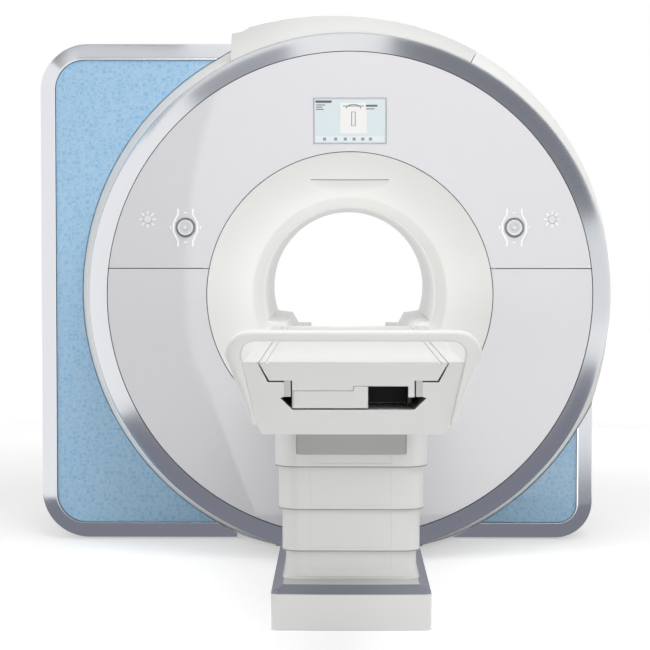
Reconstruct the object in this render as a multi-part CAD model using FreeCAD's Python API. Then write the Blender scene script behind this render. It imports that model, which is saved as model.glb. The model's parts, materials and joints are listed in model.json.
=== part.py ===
import FreeCAD, Part
import math
import os

os.makedirs("parts", exist_ok=True)
Vector = FreeCAD.Vector

# A whole-body magnetic resonance scanner with its patient table. All sizes are in millimetres.
# X runs across the machine, Y runs into the bore from the table's foot end, Z is up and the floor is Z = 0.
# The pieces are drawn about the bore's axis, X = 0, with Y = 0 at mid-length, and are saved about the
# middle of the whole machine's footprint.

# Fits
fit_gap = 0.3            # between pieces that seat on each other
seam_gap = 3.0           # the open joint that shows between covers
running_gap = 0.06       # radial, between a shaft and its hole
slide_gap = 0.5          # between the stages of the lift
wiper_gap = 0.4          # between a column cover's lip and the next cover
same_place = 0.001       # ends nearer than this are one point
cover_wall = 6.0

# Gantry
bore_height = 1055.0
bore_radius = 350.0
cover_length = 1730.0
floor_clearance = 12.0

# Front face
funnel_radius = 564.0
dome_radius = 37000.0    # the face panels are very slightly domed
panel_thickness = 12.0
panel_seam_rise = 105.0  # above the bore's axis
ring_floor_gap = 15.0
ring_width = 83.0
ring_depth = 118.0
ring_wall = 10.0
flange_width = 25.0
flange_thickness = 12.0

# Funnels, seen as (radius, depth behind the face)
funnel_crease_radius = 384.0
funnel_crease_depth = 160.0
funnel_depth = 246.0
funnel_bulge = 6.0
funnel_back = 30.0
rear_funnel_radius = 480.0
rear_funnel_depth = 140.0
brow_height = 457.0      # the straight lip over the bore, above its axis
brow_half_width = 155.0
brow_depth = 14.0
brow_reach = 63.0        # down the funnel's slope

# Body behind the face
collar_growth = 0.19     # the collar widens by this share of its length
collar_length = 500.0
left_overhang = 267.0    # what the body stands out past the ring
right_inset = 6.0        # what it stays inside the ring
top_rise = 6.0           # over the ring
body_bottom = 6.0
body_corner = 200.0
body_corner_right = 155.0
body_rear_depth = 65.0   # from the side covers' rear edge to the rear face
rear_edge_radius = 40.0
bottom_return = 90.0     # what the side covers turn in at the floor, past their corner
shoulder_growth = 4.0    # the shoulder's radius over the ring's
shoulder_rise = 60.0     # its middle over the bore's axis
hood_seam_x = -475.0
hood_corner_via = (-447.0, 3.0)    # across, and over the side frames' top
hood_corner = (-402.0, 24.0)
hood_crown = (-60.0, 66.0)
hood_merge_angle = 77.0
hood_seam_angle = 62.5
brim_width = 130.0       # how far the hood's and the shoulder's rounded fronts reach past the ring
brim_depth = 135.0
brim_via = (72.0, 46.0)

# Side frames and their panels
frame_width = 75.0
frame_stand = 100.0      # how far the frames stand in front of the side covers
frame_round = 52.0
inlay_depth = 10.0       # the panels' faces behind the frames' fronts
inlay_thickness = 8.0
inlay_gap = 2.0
inlay_lip = 20.0
inlay_lip_thickness = 8.0
right_frame_start = 400.0
right_frame_top = 700.0

# Bore
liner_wall = 6.0
track_fairing_top = (332.0, -112.0)    # across, and from the bore's axis
track_fairing_edge = (262.0, -122.0)
track_shelf_x = 236.0
track_shelf_drop = 2.0   # below the tabletop's underside
track_channel_clearance = 9.0
track_channel_drop = 22.0

# Magnet
body_coil_room = 415.0   # from each end of the covers
body_coil_wall = 23.4
gradient_room = 245.0    # from each end of the covers
vessel_bore_radius = 462.0
vessel_inset = 110.0     # the vessel's radius is this much under the ring's
vessel_end_room = 145.0
vessel_wall = 10.0
former_radius = 500.0
former_wall = 14.0
former_room = 70.0       # from each end of the vessel
former_flange = 120.0
former_flange_thickness = 20.0
coil_shares = (-0.415, -0.146, 0.146, 0.415)    # of the former's length
coil_width = 130.0
coil_height = 60.0
rod_radius = 12.0
rod_angles = (45.0, 135.0, 225.0, 315.0)
turret_x = -150.0
turret_y = 120.0
turret_radius = 150.0
turret_flange_radius = 185.0
turret_rise = 1.0
turret_flange_thickness = 16.0
cold_head_radius = 55.0
cold_head_flange_radius = 75.0
cold_head_height = 40.0
foot_x = 215.0
foot_y = 350.0
foot_width = 180.0
foot_length = 200.0
foot_waist = 110.0
foot_plate = 24.0

# Display
display_width = 286.0
display_height = 180.0
display_gap = 29.0       # from the funnel's edge
display_border = 5.0
display_housing_depth = 55.0
screen_inset = 1.0
screen_thickness = 4.0

# Controls, each pair mirrored about X = 0
control_spacing = 148.5  # from the knob to the lamp button
knob_rise = 265.5
knob_radius = 24.7
knob_stand = 20.0
knob_edge = 2.5
knob_pocket_radius = 38.0
knob_pocket_depth = 7.0
knob_shaft_radius = 6.0
button_radius = 10.0
button_travel = 2.5
button_length = 9.5
button_stop = 0.5
button_proud = 1.5
lamp_button_edge = 160.0 # from the face panel's edge, level with the bore
lamp_button_rise = 298.0
lamp_button_radius = 16.0
lamp_button_proud = 3.0
lamp_button_depth = 6.0
lamp_button_travel = 2.0
shaft_past_panel = 6.0

# Patient table
table_front = 3285.0     # the table's foot end, before the bore's middle
table_drop = 120.0       # from the bore's axis down to the tabletop
table_head_gap = 20.0    # from the table's head end to the face
frame_top_half = 300.8
frame_step_half = 262.7
frame_step_drop = 167.0
frame_bottom_half = 247.5
frame_depth = 194.0
frame_floor_thickness = 8.0
edge_gap = 4.0           # round the tabletop
top_half = 256.0
top_lower_half = 228.6
top_thickness = 48.0
stem_half = 166.0
stem_height = 75.0
groove_x = 232.0
groove_width = 8.0
groove_depth = 4.0
strip_width = 18.0
strip_height = 40.0
notch_half = 199.0
notch_drop = 3.0
end_cavity_left = 41.0
end_cavity_wall = 17.0
end_cavity_height = 60.0
end_cavity_depth = 180.0
end_cavity_wall_cut = 30.0
end_cover_left = -163.0
end_cover_height = 47.0
end_cover_step = 13.0
end_cover_step_x = 0.0
end_cover_thickness = 18.0
end_cover_gap = 1.0

# Push hoop at the table's foot end
hoop_rise = 89.0
hoop_half = 350.0
hoop_bar = 30.0
hoop_length = 40.0
hoop_corner = 68.0
hoop_round = 11.0
hoop_edge = 4.5
hoop_shoulder_rise = 20.0

# Tabletop drive
bay_half = 140.0
bay_margin = 85.0
bay_cover_thickness = 6.0
pulley_radius = 16.0
pulley_width = 44.0
pulley_inset = 135.0
pulley_shaft_radius = 5.0
shaft_seat = 20.0
belt_thickness = 3.0
belt_width = 40.0
motor_radius = 21.0
motor_length = 95.0
clamp_half = 10.0
clamp_length = 60.0
clamp_inset = 155.0
slot_clearance = 4.0

# Lift column: four nested covers, the top one widest
column_front = 2110.0    # front of the base cover, before the bore's middle
column_rear = 1290.0
column_half = 217.0
column_step = 12.0
column_corner = 50.0
column_wall = 4.0
column_lip = 10.0
column_shares = (0.7032, 0.5112, 0.3226)    # of the height under the table
column_overlap = 50.0
column_panel_half = 134.0
column_panel_depth = 1.2
column_panel_margin = 14.0
skirt_height = 32.0
skirt_reach = 12.0
skirt_knee = 10.0
skirt_knee_reach = 3.5

# Lift inside the column
guide_width = 180.0
guide_length = 300.0
guide_wall = 6.0
guide_y = 1640.0
stage_height = 322.0
ram_y = 1930.0
ram_radius = 45.0
ram_wall = 6.0
pump_y = 1090.0
pump_length = 200.0
pump_width = 150.0
pump_height = 80.0
pump_motor_radius = 45.0
pump_motor_length = 140.0

# Table base
base_half = 262.5
base_toe = 145.0         # the base past the column, at the foot end
base_height = 129.5
base_corner = 20.0
base_bow = 6.0
base_wall = 8.0
trim_width = 38.0
trim_rise = 16.0
plate_thickness = 8.0
plate_gap = 0.5

# Cable box in front of the column, under the table
box_half = 179.0
box_height = 164.0
box_length = 130.0
box_round = 8.0

# Worked out from the sizes above
ring_radius = bore_height - ring_floor_gap
ring_inner_radius = ring_radius - ring_width
face_radius = ring_inner_radius - seam_gap
vessel_radius = ring_radius - vessel_inset
vessel_length = cover_length - 2 * vessel_end_room
former_length = vessel_length - 2 * former_room
coil_places = [share * former_length for share in coil_shares]
gradient_length = cover_length - 2 * gradient_room
body_coil_length = cover_length - 2 * body_coil_room
body_left = -ring_radius - left_overhang
body_right = ring_radius - right_inset
body_top = bore_height + ring_radius + top_rise
turret_height = body_top + turret_rise
panel_seam_height = bore_height + panel_seam_rise
display_centre_height = bore_height + funnel_radius + display_gap + display_height / 2
knob_height = bore_height + knob_rise
lamp_button_height = bore_height + lamp_button_rise
lamp_button_x = face_radius - lamp_button_edge
knob_x = lamp_button_x - control_spacing
table_top_height = bore_height - table_drop
frame_step_height = table_top_height - frame_step_drop
frame_bottom_height = table_top_height - frame_depth
column_bottoms = [share * frame_bottom_height for share in column_shares]
column_base_top = column_bottoms[2] + column_overlap
base_front = column_front + base_toe
hoop_top = table_top_height + hoop_rise
hoop_shoulder_height = table_top_height + hoop_shoulder_rise
face_y = -cover_length / 2
rear_y = cover_length / 2
dome_centre_y = face_y + math.sqrt(dome_radius**2 - funnel_radius**2)


def dome_y(radius):
    """How far along Y the face panels' front lies at this radius."""
    return dome_centre_y - math.sqrt(dome_radius**2 - radius**2)


panel_back_y = dome_y(face_radius) + panel_thickness
flange_y = panel_back_y + fit_gap
ring_back_y = dome_y(face_radius) + ring_depth
collar_front_y = ring_back_y + fit_gap
collar_back_y = collar_front_y + collar_length
collar_back_radius = ring_radius + collar_growth * collar_length
side_front_y = collar_back_y + fit_gap
side_rear_y = rear_y - body_rear_depth
frame_front_y = collar_back_y - frame_stand
inlay_front_y = frame_front_y + inlay_depth
liner_front_y = face_y + funnel_depth + fit_gap
liner_rear_y = rear_y - rear_funnel_depth - fit_gap
shoulder_radius = ring_radius + shoulder_growth
shoulder_x = body_right - shoulder_radius
shoulder_height = bore_height + shoulder_rise
brim_radius = ring_radius + brim_width
table_front_y = -table_front
table_head_y = face_y - table_head_gap
top_underside = table_top_height - top_thickness
stem_underside = top_underside - stem_height
channel_floor = stem_underside - edge_gap
bay_roof = channel_floor - frame_floor_thickness
base_rear_y = dome_y(bore_height - base_height - trim_rise) - fit_gap
base_top = base_height + trim_rise
base_inside = base_wall + fit_gap
machine_middle = Vector(
    (body_left + ring_radius) / 2, (table_front_y - hoop_round + rear_y) / 2, 0
)


# Drawing helpers. A profile is a list of steps: (u, v) ends a line, and (u, v, u, v) is an arc through
# the first point to the second.
def closed_face(steps, place):
    here = steps[0]
    made = []
    for step in list(steps[1:]) + [steps[0]]:
        end = step[-2:]
        if math.dist(end, here) < same_place:
            continue
        if len(step) == 4:
            made.append(Part.Arc(place(*here), place(*step[:2]), place(*end)).toShape())
        else:
            made.append(Part.makeLine(place(*here), place(*end)))
        here = end
    return Part.Face(Part.Wire(made))


def turned(steps, x=0.0, y=0.0, z=bore_height):
    """A solid turned about an axis along Y through (x, z), from a profile of (radius, distance along Y)."""
    face = closed_face(steps, lambda radius, along: Vector(x + radius, y + along, z))
    return face.revolve(Vector(x, y, z), Vector(0, 1, 0), 360)


def prism(steps, start, end):
    """A profile of (x, z) drawn out along Y."""
    face = closed_face(steps, lambda x, z: Vector(x, start, z))
    return face.extrude(Vector(0, end - start, 0))


def upright(steps, bottom, top):
    """A profile of (x, y) drawn out along Z."""
    face = closed_face(steps, lambda x, y: Vector(x, y, bottom))
    return face.extrude(Vector(0, 0, top - bottom))


def block(x0, x1, y0, y1, z0, z1):
    return Part.makeBox(x1 - x0, y1 - y0, z1 - z0, Vector(x0, y0, z0))


def rod(radius, length, foot, direction):
    return Part.makeCylinder(radius, length, foot, direction)


def on_circle(centre, radius, degrees):
    angle = math.radians(degrees)
    return (centre[0] + radius * math.cos(angle), centre[1] + radius * math.sin(angle))


def arc_step(centre, radius, start, end):
    return (*on_circle(centre, radius, (start + end) / 2), *on_circle(centre, radius, end))


def mirrored(shape):
    return shape.mirror(Vector(0, 0, 0), Vector(1, 0, 0))


def save(name, shape):
    shape = shape.copy()
    shape.translate(machine_middle * -1)
    shape.exportStep("parts/" + name + ".step")


# The body's outline seen from the front, drawn in by a distance
def body_outline(inset):
    left = body_left + inset
    right = body_right - inset
    bottom = body_bottom + inset
    top = body_top - inset
    corner = body_corner - inset
    corner_right = body_corner_right - inset
    lower_left = (left + corner, bottom + corner)
    upper_left = (left + corner, top - corner)
    lower_right = (right - corner_right, bottom + corner_right)
    shoulder = (shoulder_x, shoulder_height)
    hood_left = hood_seam_x + inset
    return [
        (left, lower_left[1]),
        (left, upper_left[1]),
        arc_step(upper_left, corner, 180, 90),
        (hood_left, top),
        (
            hood_corner_via[0] + inset,
            top + hood_corner_via[1],
            hood_corner[0] + inset / 2,
            top + hood_corner[1],
        ),
        (
            hood_crown[0],
            top + hood_crown[1],
            *on_circle(shoulder, shoulder_radius - inset, hood_merge_angle),
        ),
        arc_step(shoulder, shoulder_radius - inset, hood_merge_angle, 0),
        (right, lower_right[1]),
        arc_step(lower_right, corner_right, 0, -90),
        (lower_left[0], bottom),
        arc_step(lower_left, corner, 270, 180),
    ]


def body_block(inset, start, end):
    return prism(body_outline(inset), start, end)


def collar_cone(outset):
    """The space inside the collar, let out by a distance."""
    front = ring_radius + outset
    back = collar_back_radius + outset
    return turned(
        [(0, collar_front_y), (front, collar_front_y), (back, collar_back_y), (0, collar_back_y)]
    )


def brim_dome(inset):
    """The rounded front that the hood and the right shoulder are cut to, drawn in by a distance."""
    front = collar_front_y + inset
    wide = -body_left
    return turned(
        [
            (0, front),
            (ring_radius - inset, front),
            (
                ring_radius + brim_via[0] - inset,
                front + brim_via[1],
                brim_radius - inset,
                front + brim_depth,
            ),
            (wide, front + brim_depth),
            (wide, side_rear_y),
            (0, side_rear_y),
        ]
    )


# Front face
def face_panels():
    middle = (funnel_radius + face_radius) / 2
    disc = turned(
        [
            (funnel_radius, dome_y(funnel_radius)),
            (middle, dome_y(middle), face_radius, dome_y(face_radius)),
            (face_radius, panel_back_y),
            (funnel_radius, panel_back_y),
        ]
    )
    seam_bottom = panel_seam_height - seam_gap / 2
    seam_top = panel_seam_height + seam_gap / 2
    wide = ring_radius
    floor = bore_height - wide
    roof = bore_height + wide
    upper = disc.common(block(-wide, wide, face_y - 1, ring_back_y, seam_top, roof))
    lower = disc.common(block(-wide, wide, face_y - 1, ring_back_y, floor, seam_bottom))
    upper = upper.cut(display_block(fit_gap))
    for side in (-1, 1):
        upper = upper.cut(knob_seat(side)).cut(lamp_button_seat(side))
    return upper, lower


def control_y(x, height):
    """Where the face's front lies at a control."""
    return dome_y(math.hypot(x, height - bore_height))


def knob_floor_y():
    return control_y(knob_x, knob_height) + knob_pocket_depth


def knob_seat(side):
    x = side * knob_x
    front = Vector(x, face_y - 1, knob_height)
    pocket = rod(knob_pocket_radius, knob_floor_y() - front.y, front, Vector(0, 1, 0))
    hole = rod(
        knob_shaft_radius + running_gap, panel_back_y - front.y + 1, front, Vector(0, 1, 0)
    )
    return pocket.fuse(hole)


def lamp_button_seat(side):
    x = side * lamp_button_x
    start = Vector(x, face_y - 1, lamp_button_height)
    front_y = control_y(lamp_button_x, lamp_button_height)
    floor_y = front_y + lamp_button_depth + lamp_button_travel + button_stop
    pocket = rod(lamp_button_radius + fit_gap, floor_y - start.y, start, Vector(0, 1, 0))
    hole = rod(
        knob_shaft_radius + running_gap, panel_back_y - start.y + 1, start, Vector(0, 1, 0)
    )
    return pocket.fuse(hole)


def face_ring():
    front = dome_y(face_radius)
    bow = (ring_width**2 + ring_depth**2) / (2 * ring_width)
    turn = math.asin(ring_depth / bow) / 2
    outer_via = (
        ring_radius - bow * (1 - math.cos(turn)),
        ring_back_y - bow * math.sin(turn),
    )
    return turned(
        [
            (ring_inner_radius, front),
            (*outer_via, ring_radius, ring_back_y),
            (ring_radius - ring_wall, ring_back_y),
            (ring_inner_radius + ring_width / 2, flange_y + flange_thickness),
            (face_radius - flange_width, flange_y + flange_thickness),
            (face_radius - flange_width, flange_y),
            (ring_inner_radius, flange_y),
        ]
    )


def ring_collar():
    shell = collar_cone(0).cut(collar_cone(-cover_wall))
    wide = collar_back_radius + 1
    over = block(
        hood_seam_x - seam_gap,
        wide,
        ring_back_y,
        side_front_y,
        shoulder_height,
        bore_height + wide,
    )
    right = block(
        body_right - cover_wall - fit_gap,
        wide,
        ring_back_y,
        side_front_y,
        bore_height - wide,
        bore_height + wide,
    )
    under = block(-wide, wide, ring_back_y, side_front_y, -wide, floor_clearance)
    return shell.cut(over).cut(right).cut(under)


# Funnels and bore
def front_funnel():
    lip = funnel_radius - seam_gap
    crease = (funnel_crease_radius, face_y + funnel_crease_depth)
    mouth = (bore_radius, face_y + funnel_depth)
    run = (crease[0] - lip, crease[1] - face_y)
    slope = math.hypot(*run)
    inward = (-run[1] / slope, run[0] / slope)
    via = (
        (lip + crease[0]) / 2 + inward[0] * funnel_bulge,
        (face_y + crease[1]) / 2 + inward[1] * funnel_bulge,
    )
    rim = funnel_radius + flange_width
    funnel = turned(
        [
            (lip, face_y),
            (*via, *crease),
            mouth,
            (bore_radius + liner_wall + funnel_back / 2, mouth[1]),
            (crease[0] + funnel_back, crease[1] + funnel_back / 2),
            (lip, flange_y + flange_thickness),
            (rim, flange_y + flange_thickness),
            (rim, flange_y),
            (lip, flange_y),
        ]
    )
    return funnel.cut(brow_scoop())


def brow_scoop():
    """The hollow under the funnel's lip: part of a ball that fades out down the slope and to both sides."""
    lip = funnel_radius - seam_gap
    fall = lip - funnel_crease_radius
    slope = math.hypot(fall, funnel_crease_depth)
    down = Vector(0, funnel_crease_depth / slope, -fall / slope)
    out = Vector(0, -fall / slope, -funnel_crease_depth / slope)
    share = (lip - brow_height) / fall
    seat = Vector(0, face_y + share * funnel_crease_depth, bore_height + brow_height)
    seat = seat + out * (4 * funnel_bulge * share * (1 - share))
    round_x = brow_height / (funnel_crease_depth / slope)
    ball = 1 / (2 * brow_depth / brow_half_width**2 + 1 / round_x)
    ahead = (2 * ball * brow_depth - brow_reach**2) / (2 * brow_reach)
    deepest = brow_depth + ahead**2 / (2 * ball)
    centre = seat - down * ahead + out * (ball - deepest)
    under = block(-ball, ball, face_y, 0, bore_height, bore_height + brow_height)
    return Part.makeSphere(ball, centre).common(under)


def bore_liner():
    return turned(
        [
            (bore_radius, liner_front_y),
            (bore_radius, liner_rear_y),
            (bore_radius + liner_wall, liner_rear_y),
            (bore_radius + liner_wall, liner_front_y),
        ]
    )


def bore_track():
    """The bed at the bottom of the bore that the tabletop runs in, with a sloped fairing each side."""
    shelf = top_underside - track_shelf_drop
    channel_half = stem_half + track_channel_clearance
    channel = stem_underside - track_channel_drop
    fairing_top = bore_height + track_fairing_top[1]
    right = [
        (channel_half, channel),
        (channel_half, shelf),
        (track_shelf_x, shelf),
        (track_fairing_edge[0], bore_height + track_fairing_edge[1]),
        (track_fairing_top[0], fairing_top),
    ]
    left = [(-x, z) for x, z in reversed(right)]
    below = bore_height - bore_radius - 1
    outer = [(bore_radius, fairing_top), (bore_radius, below)]
    under = [(-bore_radius, below), (-bore_radius, fairing_top)]
    bed = prism(right + outer + under + left, liner_front_y, liner_rear_y)
    inside = turned(
        [
            (0, liner_front_y),
            (bore_radius - fit_gap, liner_front_y),
            (bore_radius - fit_gap, liner_rear_y),
            (0, liner_rear_y),
        ]
    )
    return bed.common(inside)


def rear_funnel():
    rim = rear_funnel_radius - seam_gap
    seat = rear_y - cover_wall
    deep = rear_y - rear_funnel_depth
    return turned(
        [
            (rim, rear_y),
            (rim, seat + fit_gap),
            (rim, seat - fit_gap),
            (rim + flange_width, seat - fit_gap),
            (rim + flange_width, seat - fit_gap - flange_thickness),
            (rim - flange_width, seat - fit_gap - flange_thickness),
            (bore_radius + liner_wall + funnel_back / 2, deep),
            (bore_radius, deep),
        ]
    )


# Body covers
def side_shell(front):
    """The side covers' wall and rear wall together, from a front plane to their rear edge."""
    outside = body_block(0, front, side_rear_y)
    inside = body_block(cover_wall, front, side_rear_y - cover_wall)
    rear_hole = rod(
        vessel_radius, cover_length, Vector(0, face_y, bore_height), Vector(0, 1, 0)
    )
    under = block(
        body_left + body_corner + bottom_return,
        body_right - body_corner_right - bottom_return,
        front - 1,
        side_rear_y + 1,
        0,
        body_bottom + body_corner,
    )
    return outside.cut(inside).cut(rear_hole).cut(under)


def left_side_cover():
    keep = block(
        body_left - 1, hood_seam_x - seam_gap / 2, side_front_y, side_rear_y, 0, body_top + 1
    )
    return side_shell(side_front_y).common(keep)


def above_hood_seam():
    """The space on the hood's side of the radial seam."""
    far = cover_length
    heading = on_circle((0, 0), far, hood_seam_angle)
    seam = [
        (0, bore_height),
        (heading[0], bore_height + heading[1]),
        (hood_seam_x, bore_height + heading[1]),
        (hood_seam_x, bore_height),
    ]
    return prism(seam, face_y, rear_y)


def hood_and_right():
    """The hood and the right side cover before they are parted."""
    shell = side_shell(collar_front_y)
    outside = body_block(0, collar_front_y, side_rear_y)
    domed = outside.common(brim_dome(0)).cut(
        body_block(cover_wall, collar_front_y, side_rear_y - cover_wall).common(
            brim_dome(cover_wall)
        )
    )
    hole = rod(
        ring_radius - ring_wall, collar_length, Vector(0, face_y, bore_height), Vector(0, 1, 0)
    )
    domed = domed.cut(hole)
    rear_hole = rod(vessel_radius, cover_length, Vector(0, 0, bore_height), Vector(0, 1, 0))
    domed = domed.cut(rear_hole)
    roof = body_top + body_corner
    upper = block(
        hood_seam_x + seam_gap / 2, body_right, face_y, rear_y, shoulder_height, roof
    )
    lower_limit = collar_cone(0).fuse(
        block(body_left, body_right, collar_back_y, side_rear_y, 0, shoulder_height)
    )
    lower = block(0, body_right, face_y, rear_y, 0, shoulder_height)
    return domed.common(upper), shell.common(lower_limit).common(lower)


def top_hood(upper):
    return upper.common(above_hood_seam())


def right_side_cover(upper, lower):
    seam = on_circle((0, 0), seam_gap, hood_seam_angle - 90)
    limit = above_hood_seam()
    limit.translate(Vector(seam[0], 0, seam[1]))
    beside = block(0, body_right, face_y, rear_y, shoulder_height, body_top + body_corner)
    right = upper.common(beside).cut(limit)
    return right.fuse(lower).removeSplitter()


def rear_cover():
    """One closed back, rounded at its edge, with the funnel's hole."""
    start = side_rear_y + fit_gap
    cover = body_block(0, start, rear_y)
    edges = [e for e in cover.Edges if all(abs(v.Y - rear_y) < fit_gap for v in e.Vertexes)]
    cover = cover.makeFillet(rear_edge_radius, edges)
    inside = body_block(rear_edge_radius, start, rear_y - cover_wall)
    hole = rod(rear_funnel_radius, cover_length, Vector(0, 0, bore_height), Vector(0, 1, 0))
    return cover.cut(inside).cut(hole)


# Side frames and their inlaid panels
def frame_block(inset, front, back):
    """The rounded rectangle that both side frames are parts of, drawn in by a distance."""
    left = body_left + inset
    right = body_right - inset
    bottom = body_bottom + inset
    top = body_top - inset
    corner = body_corner - inset
    small = body_corner_right - inset
    outline = [
        (left, bottom + corner),
        (left, top - corner),
        arc_step((left + corner, top - corner), corner, 180, 90),
        (right - small, top),
        arc_step((right - small, top - small), small, 90, 0),
        (right, bottom + small),
        arc_step((right - small, bottom + small), small, 0, -90),
        (left + corner, bottom),
        arc_step((left + corner, bottom + corner), corner, 270, 180),
    ]
    return prism(outline, front, back)


def side_frame(keep):
    """A frame with a fully rounded front, and a lip behind its panel."""
    solid = frame_block(0, frame_front_y, collar_back_y)
    front = [e for e in solid.Edges if e.BoundBox.YMax < frame_front_y + fit_gap]
    solid = solid.makeFillet(frame_round, front)
    band = solid.cut(frame_block(frame_width, frame_front_y, collar_back_y))
    lip_front = inlay_front_y + inlay_thickness + fit_gap
    lip_back = lip_front + inlay_lip_thickness
    lip = frame_block(frame_width - 1, lip_front, lip_back).cut(
        frame_block(frame_width + inlay_lip, lip_front, lip_back)
    )
    return band.fuse(lip).common(keep).cut(collar_cone(seam_gap)).removeSplitter()


def left_keep():
    return block(
        body_left - 1,
        hood_seam_x - seam_gap / 2,
        face_y,
        side_rear_y,
        0,
        body_top + 1,
    )


def right_keep():
    return block(right_frame_start, body_right + 1, face_y, side_rear_y, 0, right_frame_top)


def side_inlay(keep):
    sheet = frame_block(frame_width + inlay_gap, inlay_front_y, inlay_front_y + inlay_thickness)
    return sheet.common(keep).cut(collar_cone(seam_gap))


# Magnet
def tube(inner, outer, start, end):
    return turned([(inner, start), (inner, end), (outer, end), (outer, start)])


def body_coil():
    inner = bore_radius + liner_wall + fit_gap
    return tube(inner, inner + body_coil_wall, -body_coil_length / 2, body_coil_length / 2)


def gradient_coil():
    inner = bore_radius + liner_wall + 2 * fit_gap + body_coil_wall
    return tube(
        inner, vessel_bore_radius - fit_gap, -gradient_length / 2, gradient_length / 2
    )


def vacuum_vessel():
    half = vessel_length / 2
    shell = tube(vessel_bore_radius, vessel_radius, -half, half)
    space = tube(
        vessel_bore_radius + vessel_wall,
        vessel_radius - vessel_wall,
        -half + vessel_wall,
        half - vessel_wall,
    )
    return shell.cut(space)


def coil_former():
    half = former_length / 2
    inner = former_radius
    outer = former_radius + former_wall
    rim = outer + former_flange
    inside = half - former_flange_thickness
    return turned(
        [
            (inner, -half),
            (inner, half),
            (rim, half),
            (rim, inside),
            (outer, inside),
            (outer, -inside),
            (rim, -inside),
            (rim, -half),
        ]
    )


def main_coils():
    inner = former_radius + former_wall + fit_gap
    rings = [
        tube(inner, inner + coil_height, y - coil_width / 2, y + coil_width / 2)
        for y in coil_places
    ]
    return Part.makeCompound(rings)


def suspension_rods():
    """Each rod hangs the former from the vessel's wall."""
    foot = former_radius + former_wall + former_flange + fit_gap
    length = vessel_radius - vessel_wall - 2 * fit_gap - foot
    y = former_length / 2 - former_flange_thickness / 2
    rods = []
    for end in (-y, y):
        for degrees in rod_angles:
            x, z = on_circle((0, 0), 1, degrees)
            start = Vector(x * foot, end, bore_height + z * foot)
            rods.append(rod(rod_radius, length, start, Vector(x, 0, z)))
    return Part.makeCompound(rods)


def vessel_space(outset):
    reach = vessel_length / 2 + outset
    return rod(
        vessel_radius + outset, 2 * reach, Vector(0, -reach, bore_height), Vector(0, 1, 0)
    )


def service_turret():
    foot = Vector(turret_x, turret_y, bore_height)
    neck = rod(turret_radius, turret_height - bore_height, foot, Vector(0, 0, 1))
    top = Vector(turret_x, turret_y, turret_height - turret_flange_thickness)
    flange = rod(turret_flange_radius, turret_flange_thickness, top, Vector(0, 0, 1))
    return neck.fuse(flange).cut(vessel_space(fit_gap))


def cold_head():
    foot = Vector(turret_x, turret_y, turret_height + fit_gap)
    flange = rod(cold_head_flange_radius, cold_head_height / 4, foot, Vector(0, 0, 1))
    return flange.fuse(rod(cold_head_radius, cold_head_height, foot, Vector(0, 0, 1)))


def magnet_feet():
    feet = []
    drop = math.sqrt(vessel_radius**2 - (foot_x + foot_width / 2) ** 2)
    top = bore_height - drop + foot_width / 2
    for x in (-foot_x, foot_x):
        for y in (-foot_y, foot_y):
            plate = block(
                x - foot_width / 2,
                x + foot_width / 2,
                y - foot_length / 2,
                y + foot_length / 2,
                0,
                foot_plate,
            )
            post = block(
                x - foot_waist / 2,
                x + foot_waist / 2,
                y - foot_waist / 2,
                y + foot_waist / 2,
                foot_plate,
                top,
            )
            feet.append(plate.fuse(post).cut(vessel_space(fit_gap)))
    return Part.makeCompound(feet)


# Display
def display_block(outset):
    half = display_width / 2 + outset
    low = display_centre_height - display_height / 2 - outset
    high = display_centre_height + display_height / 2 + outset
    return block(-half, half, face_y - 1, face_y + display_housing_depth, low, high)


def display_bezel():
    front = face_y - 1
    half = display_width / 2 - display_border
    low = display_centre_height - display_height / 2 + display_border
    high = display_centre_height + display_height / 2 - display_border
    recess = block(-half, half, front, front + screen_inset + screen_thickness, low, high)
    return display_block(0).cut(recess)


def display_screen():
    front = face_y - 1 + screen_inset
    half = display_width / 2 - display_border - fit_gap
    low = display_centre_height - display_height / 2 + display_border + fit_gap
    high = display_centre_height + display_height / 2 - display_border - fit_gap
    return block(-half, half, front, front + screen_thickness - fit_gap, low, high)


# Controls
def knob(side):
    floor = knob_floor_y()
    front = -knob_stand
    bore = button_radius + fit_gap
    bore_floor = front - button_proud + button_length + button_travel + button_stop
    back = panel_back_y - floor + shaft_past_panel
    return turned(
        [
            (bore, front),
            (knob_radius - knob_edge, front),
            (knob_radius, front + knob_edge),
            (knob_radius, -fit_gap),
            (knob_shaft_radius, -fit_gap),
            (knob_shaft_radius, back),
            (0, back),
            (0, bore_floor),
            (bore, bore_floor),
        ],
        side * knob_x,
        floor,
        knob_height,
    )


def knob_button(side):
    front = -knob_stand - button_proud
    edge = 1.0
    return turned(
        [
            (0, front),
            (button_radius - edge, front),
            (button_radius, front + edge),
            (button_radius, front + button_length),
            (0, front + button_length),
        ],
        side * knob_x,
        knob_floor_y(),
        knob_height,
    )


def lamp_button(side):
    front_y = control_y(lamp_button_x, lamp_button_height)
    edge = 1.5
    back = panel_back_y - front_y + shaft_past_panel
    return turned(
        [
            (0, -lamp_button_proud),
            (lamp_button_radius - edge, -lamp_button_proud),
            (lamp_button_radius, -lamp_button_proud + edge),
            (lamp_button_radius, lamp_button_depth),
            (knob_shaft_radius, lamp_button_depth),
            (knob_shaft_radius, back),
            (0, back),
        ],
        side * lamp_button_x,
        front_y,
        lamp_button_height,
    )


# Table
def both_sides(right):
    """A closed (x, z) profile from its right half, given from the top to the bottom."""
    return right + [(-x, z) for x, z in reversed(right)]


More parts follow.
